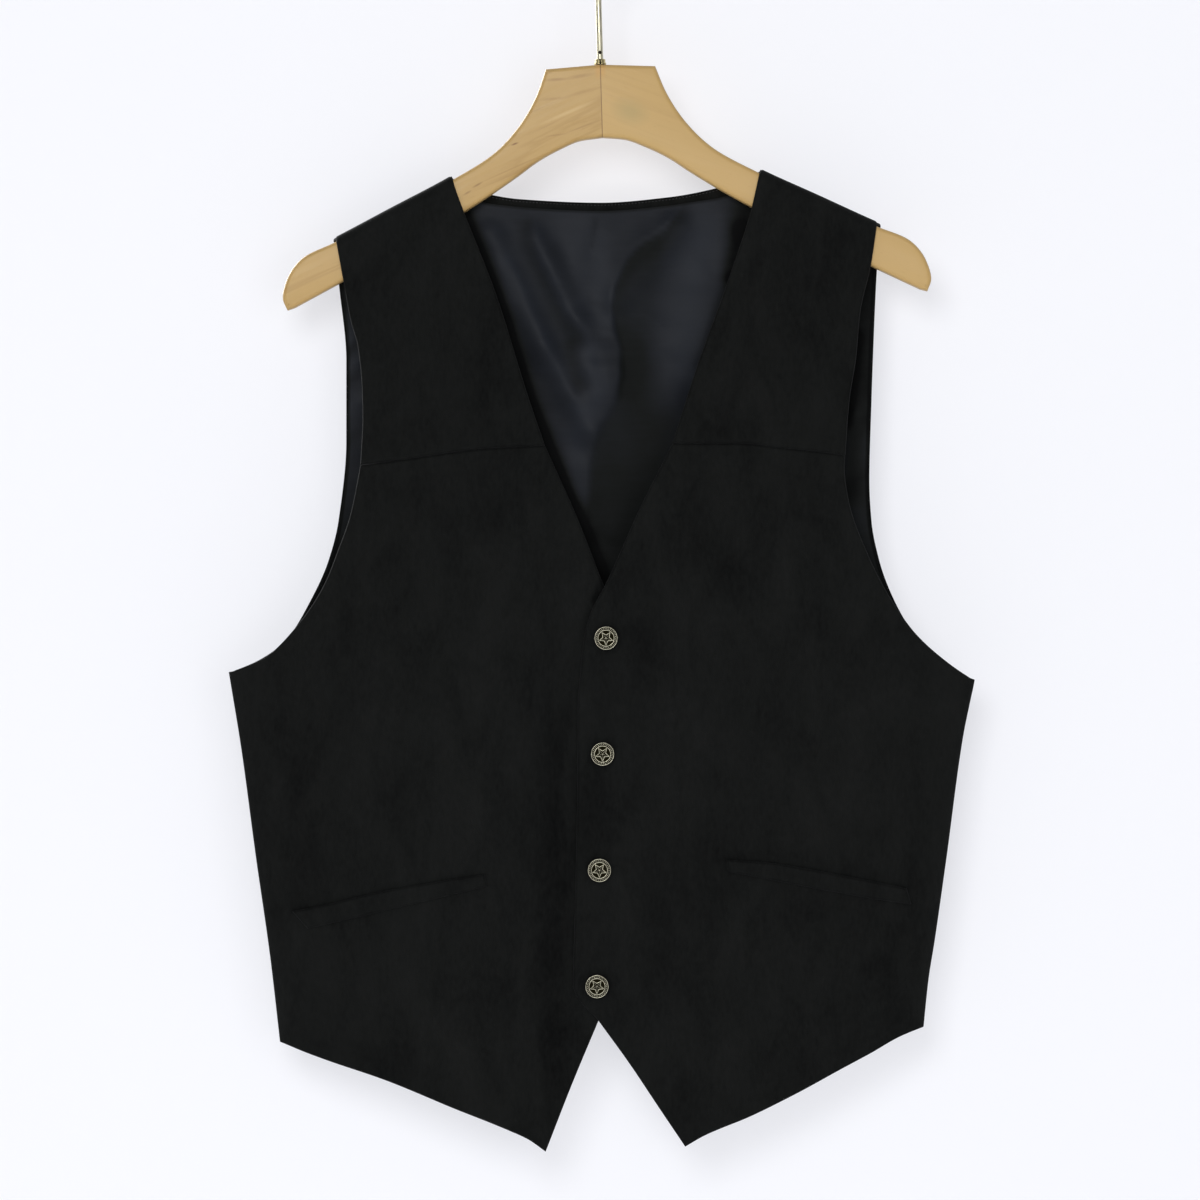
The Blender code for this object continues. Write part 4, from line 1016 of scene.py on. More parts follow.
# ---------------------------------------------------------------- snap caps
CAP_TURNS = 200
CAP_UNDER = ((6.6, 0.0), (7.4, 0.12), (7.85, 0.4), (8.12, 0.75))   # radius, height
CAP_RIM = (8.2, 1.05)
CAP_STEP = 0.10
CAP_TOP_RADII = (0.0, 5.2, 7.3, 7.75, 8.0, 8.2)   # the profile of its face
CAP_TOP_HEIGHTS = (1.70, 1.55, 1.50, 2.0, 1.75, 1.05)
STAR_POINTS = 5
STAR_REACH = 4.85
STAR_WAIST = 0.46         # radius at the notches, as a share of the reach
STAR_LINE = 0.22          # half width of the raised outline
SPOKE_LINE = 0.13         # half width of the ridges from the star's middle to its tips
SPOKE_REACH = 0.72        # they end at this share of its reach
BOSS = 0.5
BEADS = 34
BEAD_RING = 6.72
BEAD_SIZE = (0.52, 0.30)  # half length outwards and half width
INNER_RING = 5.62
INNER_RING_LINE = 0.22
CREST = 7.78
CREST_LINE = 0.20
STIPPLE = 0.04            # height of the rough ground round the star
STIPPLE_WAVES = (9.1, 8.3)   # radians for each mm across and up
STIPPLE_REACH = 5.2
# How high each kind of line stands, and how brightly it is rubbed.
CAP_HEIGHTS = {"ring": 0.4, "bead": 0.28, "star": 0.45, "spoke": 0.25, "boss": 0.4}
CAP_WEAR = {"ring": 0.95, "bead": 0.62, "star": 1.0, "spoke": 0.55, "boss": 1.0}
CREST_WEAR = 0.85
RIM_WEAR = 0.30           # outside the crest


def star_distance(x, z, reach):
    """Distance inside (+) or outside (-) a star's outline, one point hanging down."""
    half = math.pi / STAR_POINTS
    angle = np.arctan2(z, x) + math.pi / 2
    turn = np.mod(angle, 2 * half)
    turn = np.minimum(turn, 2 * half - turn)
    radius = np.hypot(x, z)
    px = radius * np.cos(turn)
    pz = radius * np.sin(turn)
    tip = np.array((reach, 0.0))
    notch = reach * STAR_WAIST * np.array((math.cos(half), math.sin(half)))
    edge = (notch - tip) / np.linalg.norm(notch - tip)
    normal = np.array((-edge[1], edge[0]))
    return (px - tip[0]) * normal[0] + (pz - tip[1]) * normal[1]


def circle(sides):
    """Cosines and sines of evenly spaced directions."""
    turns = np.arange(sides) * math.tau / sides
    return np.cos(turns), np.sin(turns)


def ridge(distance, half_width):
    """A rounded ridge about a line, one unit high."""
    return np.sqrt(np.clip(1 - (distance / half_width) ** 2, 0.0, 1.0))


def cap_relief(x, z):
    """Height of a cap's face and how worn it is there."""
    radius = np.hypot(x, z)
    angle = np.arctan2(z, x)
    turn = np.mod(angle + math.pi / BEADS, math.tau / BEADS) - math.pi / BEADS
    point = math.tau / STAR_POINTS
    aside = np.mod(angle + math.pi / 2 + point / 2, point) - point / 2
    inside = star_distance(x, z, STAR_REACH)
    bead_out = (radius - BEAD_RING) / BEAD_SIZE[0]
    bead_aside = turn * BEAD_RING / BEAD_SIZE[1]
    lines = {
        "ring": ridge(radius - INNER_RING, INNER_RING_LINE),
        "bead": ridge(np.hypot(bead_out, bead_aside), 1.0),
        "star": ridge(inside, STAR_LINE) * (radius < STAR_REACH + STAR_LINE),
        "spoke": ridge(radius * np.sin(aside), SPOKE_LINE) * (radius < STAR_REACH * SPOKE_REACH),
        "boss": ridge(radius, BOSS),
    }
    height = curve(CAP_TOP_RADII, CAP_TOP_HEIGHTS, radius)
    height = height + sum(CAP_HEIGHTS[kind] * line for kind, line in lines.items())
    stipple = STIPPLE * np.sin(x * STIPPLE_WAVES[0]) * np.sin(z * STIPPLE_WAVES[1] + x)
    height = height + stipple * (inside < 0) * (radius < STIPPLE_REACH)
    crest = ridge(radius - CREST, CREST_LINE)
    worn = np.maximum.reduce([
        *(CAP_WEAR[kind] * line for kind, line in lines.items()),
        CREST_WEAR * crest,
        RIM_WEAR * (radius > CREST),
    ])
    return height, worn


def snap_cap(name, node, finish):
    """One cap, built on the axis of the solid that it stands for."""
    cos, sin = circle(CAP_TURNS)
    radii = np.arange(CAP_STEP, CAP_RIM[0] - CAP_STEP / 2, CAP_STEP)
    rings = [(np.full(CAP_TURNS, radius), np.full(CAP_TURNS, height), np.zeros(CAP_TURNS))
             for radius, height in (*CAP_UNDER, CAP_RIM)]
    for radius in radii[::-1]:
        height, worn = cap_relief(radius * cos, radius * sin)
        rings.append((np.full(CAP_TURNS, radius), height, worn))
    points = []
    wear = []
    for radius, height, worn in rings:
        points.append(np.stack([radius * cos, -height, radius * sin], -1))
        wear.append(worn)
    top, worn = cap_relief(np.zeros(1), np.zeros(1))
    points = np.concatenate([*points, [[0.0, -top[0], 0.0]]])
    wear = np.concatenate([*wear, worn])
    index = np.arange(len(rings) * CAP_TURNS).reshape(len(rings), CAP_TURNS)
    after = np.roll(index, -1, 1)
    faces = np.stack([index[:-1], after[:-1], after[1:], index[1:]], -1).reshape(-1, 4).tolist()
    faces += [[a, b, len(points) - 1] for a, b in zip(index[-1], after[-1])]
    faces.append(index[0][::-1].tolist())
    made = mesh_object(name, points, faces, finish)
    point_values(made, "worn", wear)

    corners = np.array([vert.co for vert in frame["nodes"][node].data.vertices])
    low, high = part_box(node)
    _, _, axes = np.linalg.svd(corners - corners.mean(0), full_matrices=False)
    axis = Vector(axes[2])
    if axis.y > 0:
        axis.negate()
    back = Vector(((low.x + high.x) / 2, 0.0, (low.z + high.z) / 2))
    turn = Vector((0.0, -1.0, 0.0)).rotation_difference(axis)
    depths = [(Vector(corner) - back).dot(axis) for corner in corners]
    place = back + axis * min(depths)
    made.data.transform(Matrix.Translation(place) @ turn.to_matrix().to_4x4())
    return made


# ---------------------------------------------------------------- hanger and hook
GLUE_LINE = 0.04
WOOD_STEP = 2.5
WOOD_ROUND = 3.0
WOOD_SEGMENTS = 5
DRILL_SIDES = 40
DRILL_ABOVE = 5.0
HOOK_WIRE = 4.3
HOOK_INNER = 18.0
HOOK_SOCKET = 22.0
HOOK_TIP_ANGLE = 205.0
HOOK_BEND_ANGLE = -55.0
HOOK_STEPS = 90
BEND_STEPS = 24
STEM_STEPS = 12
WIRE_SIDES = 28
# The wire's rounded ends: how far out, and how thick, as shares of its radius.
WIRE_END = ((0.0, 1.0), (0.35, 0.94), (0.65, 0.76), (0.88, 0.47), (0.97, 0.2))
COLLAR_SIDES = 96
COLLAR_SLOT = (0.62, 0.7)  # half width and depth of the gap where the collar's sheet meets
COLLAR_PROFILE = (
    (4.0, 0.0), (4.2, 0.15), (4.25, 0.6), (4.2, 1.05), (3.95, 1.25), (3.7, 1.45), (3.66, 2.0),
    (3.66, 3.1), (3.6, 3.45), (3.4, 3.7), (3.1, 3.8),
)
PIN_HEIGHT = 8.7          # above the wood
PIN_SIDES = 32
# Radius, and how far it stands out in front of the wire.
PIN_PROFILE = ((0.55, 0.45), (0.9, 0.38), (1.1, 0.22), (1.22, 0.0), (1.25, -0.5), (1.25, -1.2))


def tilted(points):
    """Points of the hanger's own frame, in the object's frame."""
    tilt = math.radians(HANGER_TILT)
    turn = np.array(((math.cos(tilt), 0.0, math.sin(tilt)), (0.0, 1.0, 0.0),
                     (-math.sin(tilt), 0.0, math.cos(tilt))))
    return np.asarray(points) @ turn


def lengths_along(points):
    """How far along its line each point is."""
    return np.concatenate([[0.0], np.cumsum(np.linalg.norm(np.diff(points, axis=0), axis=1))])


def evenly_spaced(points):
    """Points a step apart along a smooth curve through a table."""
    points = np.array(points)
    lengths = lengths_along(points)
    at = np.linspace(0.0, lengths[-1], round(lengths[-1] / WOOD_STEP) + 1)
    return np.stack([curve(lengths, points[:, 0], at), curve(lengths, points[:, 1], at)], -1)


def hanger_half(name, side, finish):
    """One half of the hanger, from the centre joint to its tip."""
    joint = GLUE_LINE / 2
    outline = np.concatenate([
        [(joint, HANGER_TOP)],
        evenly_spaced(HANGER_ARM_TOP),
        evenly_spaced(HANGER_ARM_UNDER)[:-1],
        [(joint, HANGER_ARM_UNDER[-1][1])],
    ])
    half = HANGER_THICK / 2
    count = len(outline)
    points = [(side * x, y, z) for y in (-half, half) for x, z in outline]
    faces = [list(range(count)), list(range(2 * count - 1, count - 1, -1))]
    faces += [[i, (i + 1) % count, (i + 1) % count + count, i + count] for i in range(count)]
    made = mesh_object(name, tilted(points), faces, finish)
    bm = bmesh.new()
    bm.from_mesh(made.data)
    bm.verts.ensure_lookup_table()
    at_joint = {bm.verts[i] for i in (0, count - 1, count, 2 * count - 1)}
    long_edges = [
        edge for edge in bm.edges
        if abs(edge.verts[0].co.y - edge.verts[1].co.y) < half * MM
        and not set(edge.verts) <= at_joint
    ]
    bmesh.ops.bevel(bm, geom=long_edges, offset=WOOD_ROUND * MM, segments=WOOD_SEGMENTS,
                    profile=0.5, affect="EDGES", clamp_overlap=False)
    bm.to_mesh(made.data)
    bm.free()
    made.data.shade_smooth()
    made.data.set_sharp_from_angle(angle=math.radians(HARD_SHARP_ANGLE))
    return made


def drill(halves):
    """The hole at the centre joint that takes the hook's wire."""
    radius = HOOK_WIRE / 2 + SEAM_GAP
    top = HANGER_TOP + DRILL_ABOVE
    bottom = HANGER_TOP - HOOK_SOCKET - HOOK_WIRE / 2
    bm = bmesh.new()
    bmesh.ops.create_cone(bm, cap_ends=True, segments=DRILL_SIDES, radius1=radius * MM,
                          radius2=radius * MM, depth=(top - bottom) * MM,
                          matrix=Matrix.Translation((0.0, 0.0, (top + bottom) / 2 * MM)))
    turn = Matrix.Rotation(-math.radians(HANGER_TILT), 3, "Y")
    bmesh.ops.rotate(bm, verts=bm.verts, matrix=turn)
    mesh = bpy.data.meshes.new("drill")
    bm.to_mesh(mesh)
    bm.free()
    cutter = add_object("drill", mesh)
    for half in halves:
        cut = half.modifiers.new("hook_hole", "BOOLEAN")
        cut.operation = "DIFFERENCE"
        cut.object = cutter
        evaluated = half.evaluated_get(bpy.context.evaluated_depsgraph_get())
        drilled = bpy.data.meshes.new_from_object(evaluated)
        half.modifiers.clear()
        half.data = drilled
    bpy.data.objects.remove(cutter, do_unlink=True)


def loft(rings, closed):
    """Faces between rings of points with equal counts, capped unless they close up."""
    count = len(rings[0])
    index = np.arange(len(rings) * count).reshape(len(rings), count)
    low = index if closed else index[:-1]
    high = np.roll(index, -1, 0) if closed else index[1:]
    faces = np.stack([low, np.roll(low, -1, 1), np.roll(high, -1, 1), high], -1)
    faces = faces.reshape(-1, 4).tolist()
    if not closed:
        faces += [index[0][::-1].tolist(), index[-1].tolist()]
    return faces


def hook(name, finish):
    """The wire: a loop, a bend back under it, and a straight stem into the wood."""
    radius = HOOK_INNER + HOOK_WIRE / 2
    leave = math.radians(-HOOK_BEND_ANGLE)
    bend = radius * math.cos(leave) / (1 - math.cos(leave))
    low_z = -HOOK_INNER - radius * math.sin(leave) - bend * math.sin(leave)
    angles = np.radians(np.linspace(HOOK_TIP_ANGLE, HOOK_BEND_ANGLE, HOOK_STEPS))
    turns = np.linspace(leave, 0.0, BEND_STEPS)[1:]
    loop = np.stack([radius * np.cos(angles), -HOOK_INNER + radius * np.sin(angles)], -1)
    back = np.stack([bend * (1 - np.cos(turns)), low_z + bend * np.sin(turns)], -1)
    stem_z = np.linspace(low_z, HANGER_TOP - HOOK_SOCKET, STEM_STEPS)[1:]
    stem = np.stack([np.zeros_like(stem_z), stem_z], -1)
    path = np.concatenate([loop, back, stem])
    along = unit(np.gradient(path, axis=0))
    wire = HOOK_WIRE / 2
    sections = [(path[0] - along[0] * wire * reach, along[0], size)
                for reach, size in WIRE_END[:0:-1]]
    sections += [(point, way, 1.0) for point, way in zip(path, along)]
    sections += [(path[-1] + along[-1] * wire * reach, along[-1], size)
                 for reach, size in WIRE_END[1:]]
    cos, sin = circle(WIRE_SIDES)
    rings = []
    for centre, way, size in sections:
        other = np.array((-way[1], way[0]))
        offset = np.outer(cos, other) * wire * size
        depth = sin * wire * size
        rings.append(np.stack([centre[0] + offset[:, 0], depth, centre[1] + offset[:, 1]], -1))
    faces = loft(rings, closed=False)
    return mesh_object(name, tilted(np.concatenate(rings)), faces, finish)


def collar(name, finish):
    """The turned collar round the stem."""
    hole = HOOK_WIRE / 2 + SEAM_GAP
    foot = HANGER_TOP + SEAM_GAP
    half_gap, gap_depth = COLLAR_SLOT
    rings = []
    for i in range(COLLAR_SIDES):
        from_gap = math.tau * (i + 0.5) / COLLAR_SIDES
        turn = from_gap - math.pi / 2
        aside = abs(math.sin(from_gap)) * COLLAR_PROFILE[0][0]
        cut = gap_depth if math.cos(from_gap) > 0 and aside < half_gap else 0.0
        profile = [(hole, 0.0), *((r - cut, z) for r, z in COLLAR_PROFILE),
                   (hole, COLLAR_PROFILE[-1][1])]
        rings.append([(r * math.cos(turn), r * math.sin(turn), foot + z) for r, z in profile])
    faces = loft(rings, closed=True)
    return mesh_object(name, tilted(np.concatenate(rings)), faces, finish, HARD_SHARP_ANGLE)


def pin(name, finish):
    """The small dark pin across the stem, just above the collar."""
    centre = HANGER_TOP + PIN_HEIGHT
    cos, sin = circle(PIN_SIDES)
    rings = []
    for radius, rise in PIN_PROFILE:
        y = np.full(PIN_SIDES, -HOOK_WIRE / 2 - rise)
        rings.append(np.stack([radius * cos, y, centre + radius * sin], -1))
    return mesh_object(name, tilted(np.concatenate(rings)), loft(rings, closed=False), finish)


# ---------------------------------------------------------------- stitches
STITCH_PITCH = 2.4
STITCH_LENGTH = 1.3
STITCH_RADIUS = 0.26
STITCH_DROP = 1.7         # below the neck's edge
STITCH_MARGIN = 0.02      # the row stops this share of the top edge short of each shoulder
STITCH_SAMPLES = 600      # places along the neck from which the row's length is measured
STITCH_RINGS = 6
STITCH_SIDES = 8
STITCH_LIFT = 0.05        # how far its middle stands off the suede
STITCH_END = 0.05         # square of the size that its ends narrow to


def neck_stitches(panel, finish):
    """A row of fine stitches along the back neck, on the side that faces the wearer."""
    depth = seat_on(panel)
    first = SHOULDER_SHARE + STITCH_MARGIN
    line = back_top(np.linspace(first, 1 - first, STITCH_SAMPLES))
    line[:, 1] -= STITCH_DROP
    lengths = lengths_along(line)
    cos, sin = circle(STITCH_SIDES)
    points = []
    faces = []
    for centre in np.arange(STITCH_PITCH, lengths[-1] - STITCH_PITCH, STITCH_PITCH):
        ends = [np.array([np.interp(centre + shift, lengths, line[:, axis]) for axis in (0, 1)])
                for shift in (-STITCH_LENGTH / 2, STITCH_LENGTH / 2)]
        middle = (ends[0] + ends[1]) / 2
        seat = depth(*middle)
        if seat is None:
            continue
        way = unit(ends[1] - ends[0])
        rings = []
        for share in np.linspace(-1.0, 1.0, STITCH_RINGS):
            size = STITCH_RADIUS * math.sqrt(max(1 - share**2, STITCH_END))
            x = middle[0] + way[0] * share * STITCH_LENGTH / 2 - way[1] * cos * size
            z = middle[1] + way[1] * share * STITCH_LENGTH / 2 + way[0] * cos * size
            y = seat - STITCH_LIFT + sin * size
            rings.append(np.stack([x + CENTRE_FRONT_X, y, z], -1))
        offset = sum(len(ring) for ring in points)
        faces += [[i + offset for i in face] for face in loft(rings, closed=False)]
        points.append(np.concatenate(rings))
    return mesh_object("neck_stitches", np.concatenate(points), faces, finish)


# ---------------------------------------------------------------- materials
class Nodes:
    """A node tree, with short ways to add nodes to it."""

    def __init__(self, tree):
        self.tree = tree

    def node(self, kind, inputs=None, **settings):
        """A node, with values or other nodes' outputs for its inputs."""
        made = self.tree.nodes.new(kind)
        for key, value in settings.items():
            setattr(made, key, value)
        for key, value in (inputs or {}).items():
            self.set(made.inputs[key], value)
        return made

    def set(self, socket, value):
        """Link an output to a socket, or set the socket's own value or opaque colour."""
        if isinstance(value, bpy.types.NodeSocket):
            self.tree.links.new(value, socket)
        else:
            socket.default_value = (*value, 1.0) if socket.type == "RGBA" else value


class Finish(Nodes):
    """A material with a Principled shader."""

    def __init__(self, name, **inputs):
        self.material = bpy.data.materials.new(name)
        self.material.use_nodes = True
        super().__init__(self.material.node_tree)
        self.give(**inputs)

    def give(self, **inputs):
        """Values or other nodes' outputs for the shader's inputs."""
        shader = self.tree.nodes["Principled BSDF"]
        for key, value in inputs.items():
            self.set(shader.inputs[key.replace("_", " ")], value)

    def place(self, scale=(1.0, 1.0, 1.0), turn=(0.0, 0.0, 0.0)):
        """Coordinates in metres, turned and then stretched."""
        coordinates = self.node("ShaderNodeTexCoord").outputs["Object"]
        turned = self.node("ShaderNodeMapping", {"Vector": coordinates, "Rotation": turn})
        return self.node("ShaderNodeMapping",
                         {"Vector": turned.outputs["Vector"], "Scale": scale}).outputs["Vector"]

    def noise(self, vector, scale, detail=3.0, roughness=0.5, distortion=0.0):
        """Soft noise, about 0 to 1, with so many waves to the metre."""
        made = self.node("ShaderNodeTexNoise", {
            "Vector": vector, "Scale": scale, "Detail": detail, "Roughness": roughness,
            "Distortion": distortion})
        return made.outputs["Fac"]

    def ramp(self, value, *stops):
        """Colour from a value: (place, colour) for each stop."""
        made = self.node("ShaderNodeValToRGB", {"Fac": value})
        elements = made.color_ramp.elements
        while len(elements) < len(stops):
            elements.new(0.5)
        for element, (place, colour) in zip(elements, stops):
            element.position = place
            element.color = (*colour, 1.0)
        return made.outputs["Color"]

    def span(self, value, low, high, to_low, to_high):
        """A value carried from one range to another."""
        made = self.node("ShaderNodeMapRange", {
            "Value": value, "From Min": low, "From Max": high, "To Min": to_low, "To Max": to_high})
        return made.outputs["Result"]

    def mix(self, share, first, second, blend="MIX"):
        """Two colours mixed."""
        made = self.node("ShaderNodeMix", data_type="RGBA", blend_type=blend)
        self.set(made.inputs["Factor"], share)
        self.set(made.inputs[6], first)
        self.set(made.inputs[7], second)
        return made.outputs[2]

    def math(self, operation, first, second=0.0):
        """One or two values through arithmetic."""
        return self.node("ShaderNodeMath", {0: first, 1: second}, operation=operation).outputs[0]

    def total(self, *terms):
        """Sum of (value, weight) terms."""
        parts = [self.math("MULTIPLY", value, weight) for value, weight in terms]
        found = parts[0]
        for part in parts[1:]:
            found = self.math("ADD", found, part)
        return found

    def of_points(self, name):
        """The value of that name that the piece's points have."""
        return self.node("ShaderNodeAttribute", attribute_name=name).outputs["Fac"]

    def bumps(self, *layers):
        """Bump from (height, distance, strength) layers, one on the other."""
        normal = None
        for height, distance, strength in layers:
            inputs = {"Height": height, "Distance": distance, "Strength": strength}
            if normal is not None:
                inputs["Normal"] = normal
            normal = self.node("ShaderNodeBump", inputs).outputs["Normal"]
        self.give(Normal=normal)


# Colours from dark to light, each with its place in the range of the shade that picks it.
SUEDE_SHADES = (
    (0.22, (0.0008, 0.0010, 0.0010)), (0.50, (0.0048, 0.0053, 0.0050)),
    (0.78, (0.0080, 0.0084, 0.0081)),
)
SUEDE_SHEEN = (0.75, 0.78, 0.80)
SATIN_SHADES = (
    (0.02, (0.0008, 0.0010, 0.0011)), (0.22, (0.0056, 0.0064, 0.0062)),
    (0.48, (0.0092, 0.0106, 0.0136)), (0.82, (0.0156, 0.0182, 0.0240)),
)
THREAD_SHADES = ((0.35, (0.008, 0.008, 0.010)), (0.65, (0.016, 0.016, 0.018)))
WORN_BRASS = (0.78, 0.75, 0.58)
DARK_BRASS = (0.008, 0.007, 0.003)
HOOK_BRASS = (0.60, 0.57, 0.43)
COLLAR_BRASS = (0.56, 0.48, 0.25)
PIN_BRASS = (0.014, 0.012, 0.008)
SLOT_PAINTED_SHADE = (0.010, 0.009, 0.006)
TARNISH = 0.82            # share of its colour that tarnished brass keeps


def suede_finish():
    """Black suede: a short brushed nap, mottled where it lies different ways."""
    made = Finish("black_suede", Roughness=0.95, Sheen_Weight=0.03, Sheen_Roughness=0.5,
                  Specular_IOR_Level=0.10)
    brushed = made.place(scale=(1.0, 1.0, 0.45))
    patches = made.noise(brushed, 34.0, 4.0, 0.6, 0.6)
    nap = made.noise(brushed, 420.0, 3.0, 0.6)
    grain = made.noise(made.place(), 1500.0, 2.0, 0.6)
    # random nap mottling plus the points' painted light and shade
    shade = made.total((patches, 0.62), (nap, 0.38), (made.of_points("painted_light"), 0.10))
    made.give(Base_Color=made.ramp(shade, *SUEDE_SHADES), Sheen_Tint=SUEDE_SHEEN)
    made.bumps((patches, 0.0005, 0.4), (nap, 0.0003, 0.35), (grain, 0.00016, 0.6))
    return made.material


def satin_finish():
    """Charcoal-navy satin: a fine smooth weave with a soft shine."""
    made = Finish("navy_satin", Specular_IOR_Level=0.05, Sheen_Weight=0.0, Anisotropic=0.35)
    weave = made.noise(made.place(scale=(1.0, 1.0, 5.0)), 900.0, 2.0, 0.5)
    slubs = made.noise(made.place(scale=(0.15, 1.0, 1.0)), 260.0, 3.0, 0.6)
    cloud = made.noise(made.place(), 26.0, 3.0, 0.5)
    mottle = made.span(made.total((cloud, 0.6), (slubs, 0.4)), 0.3, 0.7, 0.44, 0.56)
    # random mottling plus the points' painted sheen and shade, which also set the roughness
    shade = made.total((mottle, 1.0), (made.of_points("painted_light"), 0.25))
    made.give(Base_Color=made.ramp(shade, *SATIN_SHADES),
              Roughness=made.span(shade, 0.2, 0.6, 0.65, 0.42))
    made.bumps((cloud, 0.0008, 0.25), (slubs, 0.00010, 0.3), (weave, 0.00006, 0.4))
    return made.material


def joint_distance(made):
    """Distance from the hanger's centre joint, in metres."""
    coordinates = made.node("ShaderNodeTexCoord").outputs["Object"]
    parts = made.node("ShaderNodeSeparateXYZ", {"Vector": coordinates}).outputs
    tilt = math.radians(HANGER_TILT)
    across = made.total((parts["X"], math.cos(tilt)), (parts["Z"], math.sin(tilt)))
    return made.math("ABSOLUTE", across)


# Pale, middle and dark wood of each half, and how strongly veins show in it.
STREAKED_TONES = ((0.458, 0.306, 0.122), (0.435, 0.287, 0.112), (0.390, 0.250, 0.092))
PLAIN_TONES = ((0.468, 0.311, 0.122), (0.462, 0.306, 0.120), (0.446, 0.294, 0.113))
STREAKED_VEINS = 0.22
PLAIN_VEINS = 0.06
STREAKED_TURN = 24.0      # degrees that the grain is turned to run along the arm
PLAIN_TURN = -20.0
VEIN_BROWN = (0.27, 0.155, 0.060)
FLECK_BROWN = (0.26, 0.14, 0.055)
GLUE_BROWN = (0.16, 0.085, 0.032)
GRAIN_BROWN = (0.31, 0.185, 0.072)
# Marks in the wood: centre (x, y, z) in mm, turn in degrees, size in mm, colour, strength.
STREAKED_MARKS = (
    ((-28.0, -7.0, -110.7), -4.0, (10.0, 9.0, 1.5), GRAIN_BROWN, 1.1),
    ((-11.0, -7.0, -108.3), -10.0, (12.0, 9.0, 1.8), GRAIN_BROWN, 0.8),
    ((-30.0, -7.0, -124.2), -5.0, (12.0, 9.0, 1.5), GRAIN_BROWN, 0.6),
    ((-10.0, -7.0, -119.6), -16.0, (15.0, 9.0, 1.6), GRAIN_BROWN, 0.55),
    ((-20.0, -7.0, -133.9), -24.0, (26.0, 9.0, 1.8), (0.56, 0.40, 0.19), 0.8),
    ((-28.0, -7.0, -149.6), -8.0, (10.0, 9.0, 0.8), GRAIN_BROWN, 0.9),
    ((-9.0, -7.0, -143.6), -21.0, (17.0, 9.0, 0.8), GRAIN_BROWN, 0.9),
    ((-34.0, -7.0, -143.0), -26.0, (16.0, 9.0, 0.8), GRAIN_BROWN, 0.5),
    ((-62.0, -7.0, -174.5), -24.0, (27.0, 9.0, 0.8), GRAIN_BROWN, 0.7),
    ((-56.9, -7.0, -155.8), -20.0, (3.2, 9.0, 0.9), (0.20, 0.10, 0.04), 1.4),
    ((-83.0, -7.0, -184.5), -30.0, (5.0, 9.0, 1.0), (0.22, 0.12, 0.05), 1.0),
    ((-90.0, -7.0, -190.0), -30.0, (4.0, 9.0, 0.9), (0.22, 0.12, 0.05), 0.9),
    ((1.5, -7.0, -104.0), 0.0, (3.0, 9.0, 8.0), (0.50, 0.26, 0.07), 0.6),
)
PLAIN_MARKS = (
    ((24.0, -7.0, -133.0), 20.0, (16.0, 12.0, 11.0), (0.375, 0.275, 0.115), 1.1),
    ((4.5, -7.0, -104.0), 0.0, (3.0, 9.0, 8.0), (0.50, 0.26, 0.07), 0.6),
)


def wood_finish(name, degrees, veining, tones, marks):
    """Pale hardwood under a thin satin varnish, its grain turned to run along the arm."""
    made = Finish(name, Specular_IOR_Level=0.2, Coat_Weight=0.05, Coat_Roughness=0.3)

    def grain(stretch, *noise):
        place = made.place(scale=(stretch, 1.0, 1.0), turn=(0.0, math.radians(degrees), 0.0))
        return made.noise(place, *noise)

    rings = grain(0.10, 62.0, 4.0, 0.55, 0.4)
    lines = grain(0.045, 420.0, 3.0, 0.6)
    pores = grain(0.10, 1300.0, 2.0, 0.6)
    veins = grain(0.028, 240.0, 2.0, 0.5)
    cloud = made.noise(made.place(), 20.0, 2.0, 0.5)
    pale, middle, dark = tones
    colour = made.ramp(rings, (0.34, pale), (0.56, middle), (0.62, dark), (0.66, middle),
                       (0.80, pale))
    for value, low, high, strength, shade in (
        (lines, 0.35, 0.75, veining * 0.6, dark),
        (cloud, 0.35, 0.75, 0.25, dark),
        (veins, 0.585, 0.64, veining, VEIN_BROWN),
        (pores, 0.66, 0.80, 0.35, FLECK_BROWN),
    ):
        colour = made.mix(made.span(value, low, high, 0.0, strength), colour, shade)
    for centre, angle, size, shade, strength in marks:
        place = made.node("ShaderNodeMapping", {
            "Vector": made.node("ShaderNodeTexCoord").outputs["Object"],
            "Location": [length * MM for length in centre],
            "Rotation": (0.0, math.radians(angle), 0.0),
            "Scale": [length * MM for length in size],
        }, vector_type="TEXTURE").outputs["Vector"]
        spot = made.node("ShaderNodeTexGradient", {"Vector": place}, gradient_type="SPHERICAL")
        share = made.span(spot.outputs["Fac"], 0.0, 0.8, 0.0, strength * 0.7)
        colour = made.mix(share, colour, shade)
    glue = made.span(joint_distance(made), 0.00010, 0.0005, 0.75, 0.0)
    made.give(Base_Color=made.mix(glue, colour, GLUE_BROWN),
              Roughness=made.span(lines, 0.3, 0.7, 0.36, 0.50))
    made.bumps((lines, 0.00012, 0.35), (pores, 0.00006, 0.4))
    return made.material


def cap_finish():
    """Antique brass: dark in its hollows and rubbed bright on what stands up."""
    made = Finish("antique_brass_cap", Metallic=1.0)
    stain = made.noise(made.place(), 900.0, 3.0, 0.6)
    worn = made.math("ADD", made.of_points("worn"), made.span(stain, 0.3, 0.7, -0.08, 0.08))
    share = made.span(worn, 0.1, 0.9, 0.0, 1.0)
    made.give(Base_Color=made.mix(share, DARK_BRASS, WORN_BRASS),
              Roughness=made.span(share, 0.0, 1.0, 0.62, 0.34))
    made.bumps((stain, 0.00006, 0.5))
    return made.material


